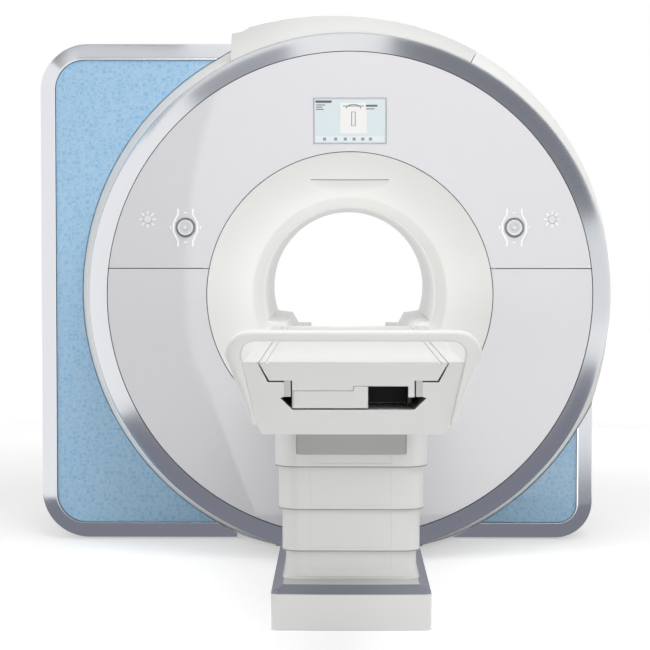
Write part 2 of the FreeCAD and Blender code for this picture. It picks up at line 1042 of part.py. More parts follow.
def table_frame():
    outer = both_sides(
        [
            (frame_top_half, table_top_height),
            (frame_step_half, frame_step_height),
            (frame_bottom_half, frame_bottom_height),
        ]
    )
    frame = prism(outer, table_front_y, table_head_y)
    strip_bottom = top_underside - edge_gap - strip_height
    strip_half = stem_half + edge_gap + strip_width
    channel = both_sides(
        [
            (top_half + edge_gap, table_top_height),
            (top_lower_half + edge_gap, top_underside - edge_gap),
            (strip_half, top_underside - edge_gap),
            (strip_half, strip_bottom),
            (notch_half, strip_bottom - notch_drop),
            (stem_half, channel_floor),
        ]
    )
    frame = frame.cut(prism(channel, table_front_y, table_head_y))
    bay = block(
        -bay_half,
        bay_half,
        table_front_y + bay_margin,
        table_head_y - bay_margin,
        frame_bottom_height,
        bay_roof,
    )
    slot_half = clamp_half + slot_clearance
    slot = block(
        -slot_half,
        slot_half,
        table_front_y + pulley_inset,
        table_head_y - pulley_inset,
        bay_roof,
        channel_floor,
    )
    frame = frame.cut(bay).cut(slot)
    hole_half = bay_half + shaft_seat + fit_gap
    for y in pulley_places():
        foot = Vector(-hole_half, y, pulley_height())
        frame = frame.cut(
            rod(pulley_shaft_radius + running_gap, 2 * hole_half, foot, Vector(1, 0, 0))
        )
    return frame


def pulley_places():
    return (table_front_y + pulley_inset, table_head_y - pulley_inset)


def pulley_height():
    return (bay_roof + frame_bottom_height + bay_cover_thickness) / 2


def drive_bay_cover():
    return block(
        -bay_half + fit_gap,
        bay_half - fit_gap,
        table_front_y + bay_margin + fit_gap,
        table_head_y - bay_margin - fit_gap,
        frame_bottom_height,
        frame_bottom_height + bay_cover_thickness,
    )


def glide_strips():
    strip = block(
        stem_half + edge_gap,
        stem_half + edge_gap + strip_width - fit_gap,
        table_front_y,
        table_head_y,
        top_underside - edge_gap - strip_height + fit_gap,
        top_underside - fit_gap,
    )
    return Part.makeCompound([strip, mirrored(strip)])


def tabletop():
    section = both_sides(
        [
            (top_half, table_top_height),
            (top_lower_half, top_underside),
            (stem_half, top_underside),
            (stem_half, stem_underside),
        ]
    )
    top = prism(section, table_front_y, table_head_y)
    for x in (groove_x, -groove_x - groove_width):
        top = top.cut(
            block(
                x,
                x + groove_width,
                table_front_y,
                table_head_y,
                table_top_height - groove_depth,
                table_top_height,
            )
        )
    cavity_end = table_front_y + end_cavity_depth
    cavity_roof = stem_underside + end_cavity_height
    cavity = block(
        end_cavity_left,
        stem_half - end_cavity_wall,
        table_front_y,
        cavity_end,
        stem_underside,
        cavity_roof,
    )
    wall_cut = block(
        stem_half - end_cavity_wall,
        stem_half,
        table_front_y,
        cavity_end,
        stem_underside,
        stem_underside + end_cavity_wall_cut,
    )
    return top.cut(cavity).cut(wall_cut).cut(end_cover_shape(end_cover_gap, 0))


def end_cover_shape(outset, sunk):
    left = end_cover_left - outset
    roof = stem_underside + end_cover_height + outset
    steps = [
        (left, stem_underside),
        (left, roof),
        (end_cover_step_x - outset, roof),
        (end_cover_step_x - outset, roof + end_cover_step),
        (end_cavity_left - sunk, roof + end_cover_step),
        (end_cavity_left - sunk, stem_underside),
    ]
    back = table_front_y + end_cover_thickness + outset * fit_gap
    return prism(steps, table_front_y, back)


def table_hoop():
    """The bar round the table's foot end: over the top, and down both sides of the frame."""
    slope = (frame_top_half - frame_step_half) / (table_top_height - frame_step_height)
    half_in = frame_top_half + fit_gap
    outer_foot = (frame_step_half + fit_gap + hoop_bar / 3, frame_step_height)
    inner_foot = (frame_step_half + fit_gap, frame_step_height)
    inside_top = hoop_top - hoop_bar
    rise = hoop_corner * (1 - math.cos(math.radians(45)))
    inner_corner = hoop_corner - hoop_bar
    inner_rise = inner_corner * (1 - math.cos(math.radians(45)))
    inner_half = half_in + (hoop_shoulder_height - table_top_height) * slope
    right = [
        (hoop_half - hoop_corner, hoop_top),
        (hoop_half - rise, hoop_top - rise, hoop_half, hoop_top - hoop_corner),
        (hoop_half, hoop_shoulder_height),
        outer_foot,
        inner_foot,
        (inner_half, hoop_shoulder_height),
        (inner_half, inside_top - inner_corner),
        (
            inner_half - inner_rise,
            inside_top - inner_rise,
            inner_half - inner_corner,
            inside_top,
        ),
        (0, inside_top),
        (0, hoop_top),
    ]
    half = prism(right, table_front_y - hoop_round, table_front_y - hoop_round + hoop_length)
    bar = half.fuse(mirrored(half)).removeSplitter()
    front = bar.BoundBox.YMin
    edges = [
        e
        for e in bar.Edges
        if abs(e.BoundBox.YMax - front) < fit_gap and e.BoundBox.ZMax > frame_step_height + 1
    ]
    return bar.makeFillet(hoop_edge, edges)


def cable_box():
    front = -column_front - 3 * column_step - fit_gap - box_length
    box = block(
        -box_half,
        box_half,
        front,
        front + box_length,
        frame_bottom_height - fit_gap - box_height,
        frame_bottom_height - fit_gap,
    )
    on_front = [e for e in box.Edges if e.BoundBox.YMax < front + fit_gap]
    edges = [e for e in on_front if e.BoundBox.ZMin < frame_bottom_height - box_round]
    return box.makeFillet(box_round, edges)


# Tabletop drive
def pulley(place, seat_right):
    """A pulley turned in one with its shaft, from its seat in the frame to a seat at the right."""
    height = pulley_height()
    left = -bay_half - shaft_seat
    shaft = rod(pulley_shaft_radius, seat_right - left, Vector(left, place, height), Vector(1, 0, 0))
    wheel = rod(
        pulley_radius, pulley_width, Vector(-pulley_width / 2, place, height), Vector(1, 0, 0)
    )
    return shaft.fuse(wheel)


def drive_belt():
    front, rear = pulley_places()
    height = pulley_height()

    def loop(radius):
        straight = block(
            -belt_width / 2, belt_width / 2, front, rear, height - radius, height + radius
        )
        foot = Vector(-belt_width / 2, front, height)
        ends = rod(radius, belt_width, foot, Vector(1, 0, 0))
        far = ends.copy()
        far.translate(Vector(0, rear - front, 0))
        return straight.fuse([ends, far]).removeSplitter()

    inner = pulley_radius + fit_gap
    return loop(inner + belt_thickness).cut(loop(inner))


def motor_seat():
    return pulley_width / 2 + shaft_seat + motor_length / 2


def drive_motor():
    start = pulley_width / 2 + shaft_seat
    place = pulley_places()[1]
    foot = Vector(start, place, pulley_height())
    body = rod(motor_radius, motor_length, foot, Vector(1, 0, 0))
    depth = motor_seat() - start + fit_gap
    hole = rod(pulley_shaft_radius + running_gap, depth, foot, Vector(1, 0, 0))
    foot_block = block(
        start,
        start + motor_length,
        place - motor_radius,
        place + motor_radius,
        frame_bottom_height + bay_cover_thickness + fit_gap,
        pulley_height(),
    )
    return body.fuse(foot_block).cut(hole)


def belt_clamp():
    start = table_front_y + clamp_inset + end_cavity_depth
    belt_top = pulley_height() + pulley_radius + fit_gap + belt_thickness
    return block(
        -clamp_half,
        clamp_half,
        start,
        start + clamp_length,
        belt_top + fit_gap,
        stem_underside - fit_gap,
    )


# Lift column
def column_profile(outset):
    half = column_half + outset
    front = -column_front - outset
    rear = -column_rear + outset
    corner = column_corner + outset
    left = -half + corner
    right = half - corner
    return [
        (left, front),
        (right, front),
        arc_step((right, front + corner), corner, -90, 0),
        (half, rear - corner),
        arc_step((right, rear - corner), corner, 0, 90),
        (left, rear),
        arc_step((left, rear - corner), corner, 90, 180),
        (-half, front + corner),
        arc_step((left, front + corner), corner, 180, 270),
    ]


def column_cover(level, bottom, top):
    """A sleeve on the column. Level 0 is the base cover, and each level up is one step wider."""
    outset = level * column_step
    sleeve = upright(column_profile(outset), bottom, top)
    inner = column_profile(outset - column_wall)
    if level:
        lip = upright(column_profile(outset - column_step + wiper_gap), bottom, bottom + column_lip)
        sleeve = sleeve.cut(upright(inner, bottom + column_lip, top)).cut(lip)
    else:
        sleeve = sleeve.cut(upright(inner, bottom, top))
    front = -column_front - outset
    return sleeve.cut(
        block(
            -column_panel_half,
            column_panel_half,
            front,
            front + column_panel_depth,
            bottom + column_panel_margin,
            top,
        )
    )


def profile_wire(steps, height):
    return closed_face(steps, lambda x, y: Vector(x, y, height)).OuterWire


def base_column_cover():
    bottom = base_top + fit_gap
    cover = column_cover(0, bottom, column_base_top)
    rings = [
        profile_wire(column_profile(skirt_reach), bottom),
        profile_wire(column_profile(skirt_knee_reach), bottom + skirt_knee),
        profile_wire(column_profile(0), bottom + skirt_height),
    ]
    skirt = Part.makeLoft(rings, True, True)
    hollow = upright(column_profile(-column_wall), bottom, bottom + skirt_height)
    return cover.fuse(skirt.cut(hollow)).removeSplitter()


def guide_stage(level, bottom):
    """A stage of the telescopic guide. Level 0 is the outer, fixed one."""
    inset = level * (guide_wall + slide_gap)
    half_x = guide_width / 2 - inset
    half_y = guide_length / 2 - inset
    top = bottom + stage_height
    outer = block(-half_x, half_x, -guide_y - half_y, -guide_y + half_y, bottom, top)
    half_x -= guide_wall
    half_y -= guide_wall
    inner = block(-half_x, half_x, -guide_y - half_y, -guide_y + half_y, bottom, top)
    return outer.cut(inner)


def middle_stage_bottom():
    top_bottom = frame_bottom_height - fit_gap - stage_height
    return (base_inside + top_bottom) / 2


def ram_stage(level, bottom):
    """A stage of the telescopic ram. Level 0 is the cylinder, and the last one is a solid rod."""
    radius = ram_radius - level * (ram_wall + slide_gap)
    foot = Vector(0, -ram_y, bottom)
    stage = rod(radius, stage_height, foot, Vector(0, 0, 1))
    if level == 2:
        return stage
    floor = ram_wall if level == 0 else 0
    foot.z += floor
    return stage.cut(rod(radius - ram_wall, stage_height, foot, Vector(0, 0, 1)))


def lift_pump():
    y0 = -pump_y - pump_length / 2
    tank = block(
        -pump_width, 0, y0, y0 + pump_length, base_inside, base_inside + pump_height
    )
    foot = Vector(0, -pump_y, base_inside + pump_motor_radius)
    motor = rod(pump_motor_radius, pump_motor_length, foot, Vector(1, 0, 0))
    return tank.fuse(motor)


# Table base
def base_profile(inset, corner):
    half = base_half - inset
    front = -base_front + inset
    return [
        (-half + corner, front + base_bow),
        (0, front, half - corner, front + base_bow),
        arc_step((half - corner, front + base_bow + corner), corner, -90, 0),
        (half, base_rear_y),
        (-half, base_rear_y),
        (-half, front + base_bow + corner),
        arc_step((-half + corner, front + base_bow + corner), corner, 180, 270),
    ]


def base_plinth():
    outside = upright(base_profile(0, base_corner), 0, base_height)
    half = base_half - base_wall
    inside = block(
        -half,
        half,
        -base_front + base_bow + base_wall,
        base_rear_y - base_wall,
        base_wall,
        base_height,
    )
    return outside.cut(inside)


def base_trim():
    bottom = base_height + fit_gap
    low = profile_wire(base_profile(0, base_corner), bottom)
    high = profile_wire(base_profile(trim_width, base_corner / 4), base_top)
    slope = Part.makeLoft([low, high], True, True)
    return slope.cut(upright(base_profile(trim_width, base_corner / 4), bottom, base_top))


def base_plate():
    sheet = upright(
        base_profile(trim_width + plate_gap, base_corner / 4), base_top - plate_thickness, base_top
    )
    hole = upright(column_profile(-column_wall - skirt_reach), base_wall, base_top)
    return sheet.cut(hole)


# Every piece, by name
upper_panel, lower_panel = face_panels()
save("face_panel_upper", upper_panel)
save("face_panel_lower", lower_panel)
save("face_ring", face_ring())
save("ring_collar", ring_collar())
save("front_funnel", front_funnel())
save("bore_liner", bore_liner())
save("bore_track", bore_track())
save("rear_funnel", rear_funnel())
save("rear_cover", rear_cover())
save("left_side_cover", left_side_cover())
hood_part, right_part = hood_and_right()
save("top_hood", top_hood(hood_part))
save("right_side_cover", right_side_cover(hood_part, right_part))
save("left_frame", side_frame(left_keep()))
save("left_inlay", side_inlay(left_keep()))
save("right_frame", side_frame(right_keep()))
save("right_inlay", side_inlay(right_keep()))
save("body_coil", body_coil())
save("gradient_coil", gradient_coil())
save("vacuum_vessel", vacuum_vessel())
save("coil_former", coil_former())
save("main_coils", main_coils())
save("suspension_rods", suspension_rods())
save("service_turret", service_turret())
save("cold_head", cold_head())
save("magnet_feet", magnet_feet())
save("display_bezel", display_bezel())
save("display_screen", display_screen())
for side_name, side in (("left", -1), ("right", 1)):
    save(side_name + "_knob", knob(side))
    save(side_name + "_knob_button", knob_button(side))
    save(side_name + "_lamp_button", lamp_button(side))
save("base_plinth", base_plinth())
save("base_trim", base_trim())
save("base_plate", base_plate())
cover_tops = (
    frame_bottom_height - fit_gap,
    column_bottoms[0] + column_overlap,
    column_bottoms[1] + column_overlap,
)
for level, cover_name in ((3, "column_cover_top"), (2, "column_cover_upper"), (1, "column_cover_lower")):
    save(cover_name, column_cover(level, column_bottoms[3 - level], cover_tops[3 - level]))
save("column_cover_base", base_column_cover())
stage_bottoms = (base_inside, middle_stage_bottom(), frame_bottom_height - fit_gap - stage_height)
for level, stage_name in enumerate(("fixed", "middle", "top")):
    save("guide_tube_" + stage_name, guide_stage(level, stage_bottoms[level]))
    save("lift_ram_" + stage_name, ram_stage(level, stage_bottoms[level]))
save("lift_pump", lift_pump())
save("table_frame", table_frame())
save("drive_bay_cover", drive_bay_cover())
save("glide_strips", glide_strips())
save("table_hoop", table_hoop())
save("cable_box", cable_box())
save("drive_belt", drive_belt())
save("idler_pulley", pulley(pulley_places()[0], bay_half + shaft_seat))
save("drive_pulley", pulley(pulley_places()[1], motor_seat()))
save("drive_motor", drive_motor())
save("belt_clamp", belt_clamp())
save("tabletop", tabletop())
save("end_cover", end_cover_shape(0, end_cover_gap))
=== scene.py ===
import json
import math

import bpy
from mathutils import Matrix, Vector


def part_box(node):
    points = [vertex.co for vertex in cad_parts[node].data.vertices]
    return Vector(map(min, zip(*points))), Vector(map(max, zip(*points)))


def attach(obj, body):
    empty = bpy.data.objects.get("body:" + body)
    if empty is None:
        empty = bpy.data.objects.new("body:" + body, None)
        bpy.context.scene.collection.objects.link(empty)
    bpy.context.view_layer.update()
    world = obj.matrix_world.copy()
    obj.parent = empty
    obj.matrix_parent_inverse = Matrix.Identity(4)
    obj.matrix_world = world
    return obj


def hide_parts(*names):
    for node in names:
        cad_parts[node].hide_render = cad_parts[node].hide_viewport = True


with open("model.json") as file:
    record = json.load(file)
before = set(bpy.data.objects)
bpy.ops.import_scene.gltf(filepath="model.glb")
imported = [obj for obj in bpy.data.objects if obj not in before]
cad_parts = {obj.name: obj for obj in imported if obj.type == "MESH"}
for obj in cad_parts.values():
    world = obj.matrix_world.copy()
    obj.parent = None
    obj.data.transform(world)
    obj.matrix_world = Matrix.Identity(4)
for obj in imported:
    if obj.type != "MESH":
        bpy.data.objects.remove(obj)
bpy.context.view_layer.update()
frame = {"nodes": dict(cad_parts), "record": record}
bodyOf = {node: body for body, nodes in frame["record"]["behaviour"]["bodies"].items()
          for node in nodes}
slotOf = {part["node"]: part["material_slot"] for part in frame["record"]["subparts"]}
print("frame loaded:", len(frame["nodes"]), "nodes")


# Materials
def toLinear(hexColour):
    # the sRGB curve
    values = [int(hexColour[i:i + 2], 16) / 255 for i in (1, 3, 5)]
    return tuple(v / 12.92 if v <= 0.04045 else ((v + 0.055) / 1.055) ** 2.4
                 for v in values) + (1.0,)


def addNode(tree, kind, settings=None, links=None):
    # settings: socket or property to value; links: input's name or number to (node, output)
    node = tree.nodes.new(kind)
    for name, value in (settings or {}).items():
        if name in node.inputs:
            node.inputs[name].default_value = value
        else:
            setattr(node, name, value)
    for name, (source, output) in (links or {}).items():
        tree.links.new(source.outputs[output], node.inputs[name])
    return node


def newMaterial(name):
    material = bpy.data.materials.new(name)
    material.use_nodes = True
    tree = material.node_tree
    tree.nodes.clear()
    return material, tree


def finishMaterial(tree, settings, links=None):
    shader = addNode(tree, "ShaderNodeBsdfPrincipled", settings, links)
    addNode(tree, "ShaderNodeOutputMaterial", links={"Surface": (shader, "BSDF")})


def grained(name, colour, roughness, grain, depth, **settings):
    # a surface with a grain: its size in millimetres, its depth in metres
    material, tree = newMaterial(name)
    coords = addNode(tree, "ShaderNodeTexCoord")
    noise = addNode(tree, "ShaderNodeTexNoise", {"Scale": 1000 / grain, "Detail": 2.0},
                    {"Vector": (coords, "Object")})
    bump = addNode(tree, "ShaderNodeBump", {"Strength": 1.0, "Distance": depth},
                   {"Height": (noise, "Fac")})
    finishMaterial(tree, {"Base Color": toLinear(colour), "Roughness": roughness, **settings},
                   {"Normal": (bump, "Normal")})
    return material


def flaked(name, flake, dark, pale, **settings):
    # lacquer with flakes of two close tones, drawn millimetres wide so that they show
    material, tree = newMaterial(name)
    coords = addNode(tree, "ShaderNodeTexCoord")
    flakes = addNode(tree, "ShaderNodeTexVoronoi", {"Scale": 1000 / flake},
                     {"Vector": (coords, "Object")})
    tone = addNode(tree, "ShaderNodeMix", {
        "data_type": "RGBA", "A": toLinear(dark), "B": toLinear(pale),
    }, {"Factor": (flakes, "Distance")})
    finishMaterial(tree, settings, {"Base Color": (tone, "Result")})
    return material


def blueLattice(cell=19):
    # back-printed acrylic sheet: blue with a paler honeycomb of cells, millimetres apart
    material, tree = newMaterial("back-printed blue acrylic")
    coords = addNode(tree, "ShaderNodeTexCoord")
    cells = addNode(tree, "ShaderNodeTexVoronoi", {
        "feature": "DISTANCE_TO_EDGE", "Scale": 1000 / cell, "Randomness": 0.35,
    }, {"Vector": (coords, "Object")})
    lines = addNode(tree, "ShaderNodeMapRange", {
        "From Min": 0.0, "From Max": 0.16, "To Min": 1.0, "To Max": 0.0,
    }, {"Value": (cells, "Distance")})
    tone = addNode(tree, "ShaderNodeMix", {
        "data_type": "RGBA", "A": toLinear("#80b0d4"), "B": toLinear("#9fc0d8"),
    }, {"Factor": (lines, "Result")})
    finishMaterial(tree, {"Roughness": 0.4, "IOR": 1.49, "Coat Weight": 0.3},
                   {"Base Color": (tone, "Result")})
    return material


def enamelledCopper(turn=4, wave=6.28):
    # wound copper wire under brown enamel: fine turns round the coil, millimetres apart
    material, tree = newMaterial("enamelled copper wire")
    coords = addNode(tree, "ShaderNodeTexCoord")
    turns = addNode(tree, "ShaderNodeTexWave", {
        "wave_type": "BANDS", "bands_direction": "Y", "Scale": 1000 / turn / wave,
    }, {"Vector": (coords, "Object")})
    bump = addNode(tree, "ShaderNodeBump", {"Strength": 1.0, "Distance": 0.0006},
                   {"Height": (turns, "Fac")})
    finishMaterial(tree, {"Base Color": toLinear("#9a5a34"), "Metallic": 0.6, "Roughness": 0.4},
                   {"Normal": (bump, "Normal")})
    return material


def whiteKey():
    # moulded white polycarbonate key: smooth and slightly glossy
    material, tree = newMaterial("white polycarbonate")
    finishMaterial(tree, {"Base Color": toLinear("#e6e8ea"), "Roughness": 0.25, "IOR": 1.58})
    return material


def screenFace():
    # lit liquid-crystal display under a matt front film
    material, tree = newMaterial("lit display film")
    finishMaterial(tree, {
        "Base Color": toLinear("#8d9699"), "Roughness": 0.35, "IOR": 1.5,
        "Emission Color": toLinear("#d9e2e5"), "Emission Strength": 0.5,
    })
    return material


def litField(colour, cell=0.6, between=0.96):
    # a field of lit cells on the display, millimetres wide, a little darker in every other one
    material, tree = newMaterial("lit display cells " + colour[1:])
    lit = toLinear(colour)
    coords = addNode(tree, "ShaderNodeTexCoord")
    cells = addNode(tree, "ShaderNodeTexChecker", {
        "Scale": 1000 / cell, "Color1": lit, "Color2": tuple(v * between for v in lit[:3]) + (1.0,),
    }, {"Vector": (coords, "Object")})
    finishMaterial(tree, {
        "Base Color": toLinear("#202224"), "Roughness": 0.35, "IOR": 1.5, "Emission Strength": 0.85,
    }, {"Emission Color": (cells, "Color")})
    return material


def paintedCover(colour="#e2e2e0"):
    # glass-fibre cover, sanded and sprayed with gloss lacquer: even, with a faint broad ripple
    return grained("sprayed gloss lacquer", colour, 0.4, 400, 0.0003,
                   **{"IOR": 1.5, "Coat Weight": 0.5, "Coat Roughness": 0.15})


def moulding(name, colour, roughness):
    # small moulded part with a fine spark-eroded grain
    return grained(name, colour, roughness, 1.5, 0.00003, IOR=1.5)


finishes = {
    # mica flakes give a cool lavender grey, and the clear coat over them mirrors softly
    "pearl_panel": flaked("pearl lacquer", 2.0, "#bfbec2", "#c5c4c8", **{
        "Roughness": 0.45, "IOR": 1.5, "Coat Weight": 1.0, "Coat Roughness": 0.04}),
    "white_gloss": paintedCover(),
    # metal flakes that lie flat, for a bright, soft sheen
    "silver_paint": flaked("silver metallic lacquer", 2.5, "#e0e2e6", "#e8eaee",
                           Metallic=1.0, Roughness=0.26),
    "blue_panel": blueLattice(),
    # warm white with a very fine matt grain
    "warm_white": grained("painted polyurethane moulding", "#d8d8d6", 0.42, 3, 0.00002, IOR=1.5),
    # bent bar with warm white satin lacquer
    "hoop_lacquer": grained("lacquered aluminium", "#dddddb", 0.32, 2, 0.00002, IOR=1.5),
    # moulded grey ABS, satin, painted darker for the table's shade over the cable box
    "grey_plastic": grained("satin grey ABS", "#8f8f8d", 0.45, 2, 0.00003, IOR=1.53),
    # moulded with a spark-eroded matt grain
    "dark_plastic": grained("grained grey ABS", "#b4b8bc", 0.5, 1.5, 0.00004, IOR=1.53),
    "button_white": whiteKey(),
    "screen_glass": screenFace(),
    # welded steel under grey primer: slightly rough
    "vessel_steel": grained("painted steel", "#9a9d9f", 0.45, 8, 0.0001, IOR=1.5),
    # bright with fine tool marks
    "alloy": grained("machined aluminium", "#c6c8ca", 0.35, 2, 0.00003, Metallic=1.0),
    "copper_coil": enamelledCopper(),
    # glass-cloth tube potted in amber resin
    "coil_plastic": grained("potted epoxy", "#b7a777", 0.4, 6, 0.0002, IOR=1.55),
    # milky and dull, with faint saw marks
    "glide_plastic": grained("machined nylon", "#bdbdba", 0.55, 4, 0.00005, IOR=1.53),
    # dull black toothed belt; the same black paints the shade in the panel joints and in the
    # table's foot-end hollow
    "belt_rubber": grained("black rubber", "#1a1a1a", 0.7, 3, 0.0002, IOR=1.52),
}
discGrey = moulding("pale grey ABS disc", "#c4c5c7", 0.45)
# mid grey that paints shade: in the knobs' wells, under the column covers' lips and under the
# funnel's brow
shadeGrey = moulding("dark grey ABS well", "#8a8c90", 0.5)
keyGrey = moulding("light grey polycarbonate key", "#cfd0d2", 0.35)
# the covers' lacquer a shade darker: painted shade on the hood and its cheek
shadedHoodPaint = paintedCover("#d4d4d2")
ownFinish = {
    # solids whose colour differs a little from others in their slot: the buttons' own grey, a
    # painted dark reflection on the trim, painted shade on the hood and painted light on the collar
    "left_knob_button": keyGrey, "right_knob_button": keyGrey,
    "left_lamp_button": keyGrey, "right_lamp_button": keyGrey,
    # the trim's grey paints the dark reflection on its silver slope
    "base_trim": moulding("grey lacquered trim", "#858994", 0.35), "top_hood": shadedHoodPaint,
    # the collar's paler white is painted light; its matt finish keeps the blue panel's reflection
    # off
    "ring_collar": moulding("matt white collar", "#f0f0ee", 0.6),
}
print("materials made:", len(finishes))


# Helpers for pieces
upright = (math.radians(90), 0, 0)  # turns a flat primitive to face along Y
# metres: points nearer than this are merged, or count as being at a place
mergeSet = {"solid": 0.00001, "made": 0.000002, "near": 0.0001}


def deselectAll():
    bpy.ops.object.select_all(action="DESELECT")


def makeActive(piece):
    deselectAll()
    piece.select_set(True)
    bpy.context.view_layer.objects.active = piece


def selectAll():
    bpy.ops.mesh.select_all(action="SELECT")


def startEdit():
    bpy.ops.object.mode_set(mode="EDIT")
    selectAll()


def endEdit():
    bpy.ops.object.mode_set(mode="OBJECT")


def pick(piece, test, kind="VERT"):
    # selects the vertices whose place passes the test, or the faces whose normal does
    bpy.ops.mesh.select_mode(type=kind)
    bpy.ops.mesh.select_all(action="DESELECT")
    endEdit()
    if kind == "VERT":
        for vertex in piece.data.vertices:
            vertex.select = test(vertex.co)
    else:
        for face in piece.data.polygons:
            face.select = test(face.normal)
    bpy.ops.object.mode_set(mode="EDIT")


def cutFlat(place, normal):
    # cuts off what lies behind a plane, and closes the cut
    selectAll()
    bpy.ops.mesh.bisect(plane_co=place, plane_no=normal, use_fill=True, clear_inner=True)


def applied(piece, kind, **settings):
    # adds a modifier, sets it and applies it
    makeActive(piece)
    modifier = piece.modifiers.new(kind.lower(), kind)
    for name, value in settings.items():
        setattr(modifier, name, value)
    bpy.ops.object.modifier_apply(modifier=modifier.name)


def rounded(piece, width, segments, degrees):
    # rounds the edges that are sharper than an angle
    applied(piece, "BEVEL", width=width, segments=segments, limit_method="ANGLE",
            angle_limit=math.radians(degrees))


def give(piece, material):
    piece.data.materials.clear()
    piece.data.materials.append(material)


def smooth(piece, degrees):
    makeActive(piece)
    bpy.ops.object.shade_smooth_by_angle(angle=math.radians(degrees))


def evenNormals(piece):
    applied(piece, "WEIGHTED_NORMAL", keep_sharp=True)


def twin(piece, name):
    # a copy with its own mesh
    copied = piece.copy()
    copied.data = piece.data.copy()
    copied.name = name
    bpy.context.collection.objects.link(copied)
    makeActive(copied)
    return copied


def newPiece(name, points, faces):
    mesh = bpy.data.meshes.new(name)
    mesh.from_pydata(points, [], faces)
    piece = bpy.data.objects.new(name, mesh)
    bpy.context.collection.objects.link(piece)
    makeActive(piece)
    return piece


def closed(piece):
    # merges doubles and turns the faces outwards
    makeActive(piece)
    startEdit()
    bpy.ops.mesh.remove_doubles(threshold=mergeSet["made"])
    bpy.ops.mesh.normals_make_consistent(inside=False)
    endEdit()


lowered = {"base_trim": 0, "base_plinth": 1}  # end of its box that sits lower: 0 foot, 1 top
dressSet = {"drop": 0.011, "level": 0.0005, "flat": 0.5, "segments": 3, "degrees": 25}


def dressed(node, edge):
    # a merged copy of a solid, with its sharp edges rounded by the edge width where one is given
    piece = twin(frame["nodes"][node], node + "_cover")
    startEdit()
    bpy.ops.mesh.remove_doubles(threshold=mergeSet["solid"])
    if edge:
        bpy.ops.mesh.dissolve_limited(angle_limit=math.radians(dressSet["flat"]))
    if node in lowered:
        # the trim's band is taller than the solid's: its foot and the plinth's top sit lower
        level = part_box(node)[lowered[node]][2]
        pick(piece, lambda place: abs(place.z - level) < dressSet["level"])
        bpy.ops.transform.translate(value=(0, 0, -dressSet["drop"]))
    endEdit()
    if edge:
        rounded(piece, edge, dressSet["segments"], dressSet["degrees"])
    give(piece, ownFinish.get(node, finishes[slotOf[node]]))
    smooth(piece, dressSet["degrees"])
    evenNormals(piece)
    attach(piece, bodyOf[node])
    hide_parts(node)


def finishPiece(piece, slot, body="scanner", replaced=(), degrees=30, material=None):
    # closes and smooths a modelled piece, and gives it its finish and its body
    makeActive(piece)
    bpy.ops.object.transform_apply(location=True, rotation=True, scale=True)
    closed(piece)
    give(piece, material or finishes[slot])
    smooth(piece, degrees)
    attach(piece, body)
    if replaced:
        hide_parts(*replaced)


def cutAway(piece, cutter, operation="DIFFERENCE"):
    # takes the cutter's shape out of the piece, or leaves only what both fill
    applied(piece, "BOOLEAN", solver="EXACT", object=cutter, operation=operation)
    bpy.data.objects.remove(cutter, do_unlink=True)


def squareBar(lo, hi):
    # a square bar between two corners
    bpy.ops.mesh.primitive_cube_add(size=1, location=[(a + b) / 2 for a, b in zip(lo, hi)])
    bar = bpy.context.active_object
    bar.scale = [b - a for a, b in zip(lo, hi)]
    return bar


def turnedPiece(name, stations, axis, segments):
    # a circle about an axis along Y, drawn out from station to station (radius, place along Y),
    # and closed
    radius, along = stations[0]
    deselectAll()
    bpy.ops.mesh.primitive_circle_add(
        vertices=segments, radius=radius, location=(axis[0], along, axis[1]), rotation=upright)
    piece = bpy.context.active_object
    piece.name = name
    bpy.ops.object.transform_apply(location=True, rotation=True, scale=True)
    startEdit()
    for nextRadius, nextAlong in stations[1:] + stations[:1]:
        bpy.ops.mesh.extrude_edges_move(TRANSFORM_OT_translate={
            "value": (0, nextAlong - along, 0)})
        bpy.ops.transform.resize(value=(nextRadius / radius, 1, nextRadius / radius),
                                 center_override=(axis[0], nextAlong, axis[1]))
        radius, along = nextRadius, nextAlong
    endEdit()
    return piece


def bowed(start, end, bulge, count):
    # stations from start to end on a shallow bow towards the front and outside
    run, rise = end[0] - start[0], end[1] - start[1]
    length = math.hypot(run, rise)
    stations = []
    for i in range(count + 1):
        t = i / count
        out = 4 * bulge * t * (1 - t) / length
        stations.append((start[0] + run * t + rise * out, start[1] + rise * t - run * out))
    return stations


def middle(node):
    # the axis of a round node: its middle across and up
    lo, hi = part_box(node)
    return (lo[0] + hi[0]) / 2, (lo[2] + hi[2]) / 2


edgeSet = {
    # width in metres of the rounded edge of each solid that has sharp moulded ones
    "base_plinth": 0.010, "base_trim": 0.003, "base_plate": 0.002, "table_frame": 0.004,
    "tabletop": 0.003, "end_cover": 0.0015, "column_cover_top": 0.0015,
    "column_cover_upper": 0.0015, "column_cover_lower": 0.0015, "column_cover_base": 0.0015,
    "display_bezel": 0.002, "cable_box": 0.006,
}
modelled = ("face_ring", "face_panel_upper", "face_panel_lower", "left_frame", "right_frame",
            "left_knob", "right_knob", "front_funnel", "table_hoop")
for node, solid in frame["nodes"].items():
    give(solid, finishes[slotOf[node]])

# Painted shadow: a mid-grey strip along the lower edge of each sliding column cover
lipShadeSet = {"rise": 0.0032, "out": 0.0006, "covers": ("top", "upper", "lower")}


def lipShadeStrip(node):
    lo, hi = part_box(node)
    strip = twin(frame["nodes"][node], node + "_wiper")
    startEdit()
    bpy.ops.mesh.remove_doubles(threshold=mergeSet["solid"])
    cutFlat((0, 0, lo[2] + lipShadeSet["rise"]), (0, 0, -1))
    selectAll()
    centre = ((lo[0] + hi[0]) / 2, (lo[1] + hi[1]) / 2, lo[2])
    grown = tuple(1 + 2 * lipShadeSet["out"] / (hi[i] - lo[i]) for i in (0, 1))
    bpy.ops.transform.resize(value=grown + (1,), center_override=centre)
    endEdit()
    finishPiece(strip, "dark_plastic", bodyOf[node], material=shadeGrey)


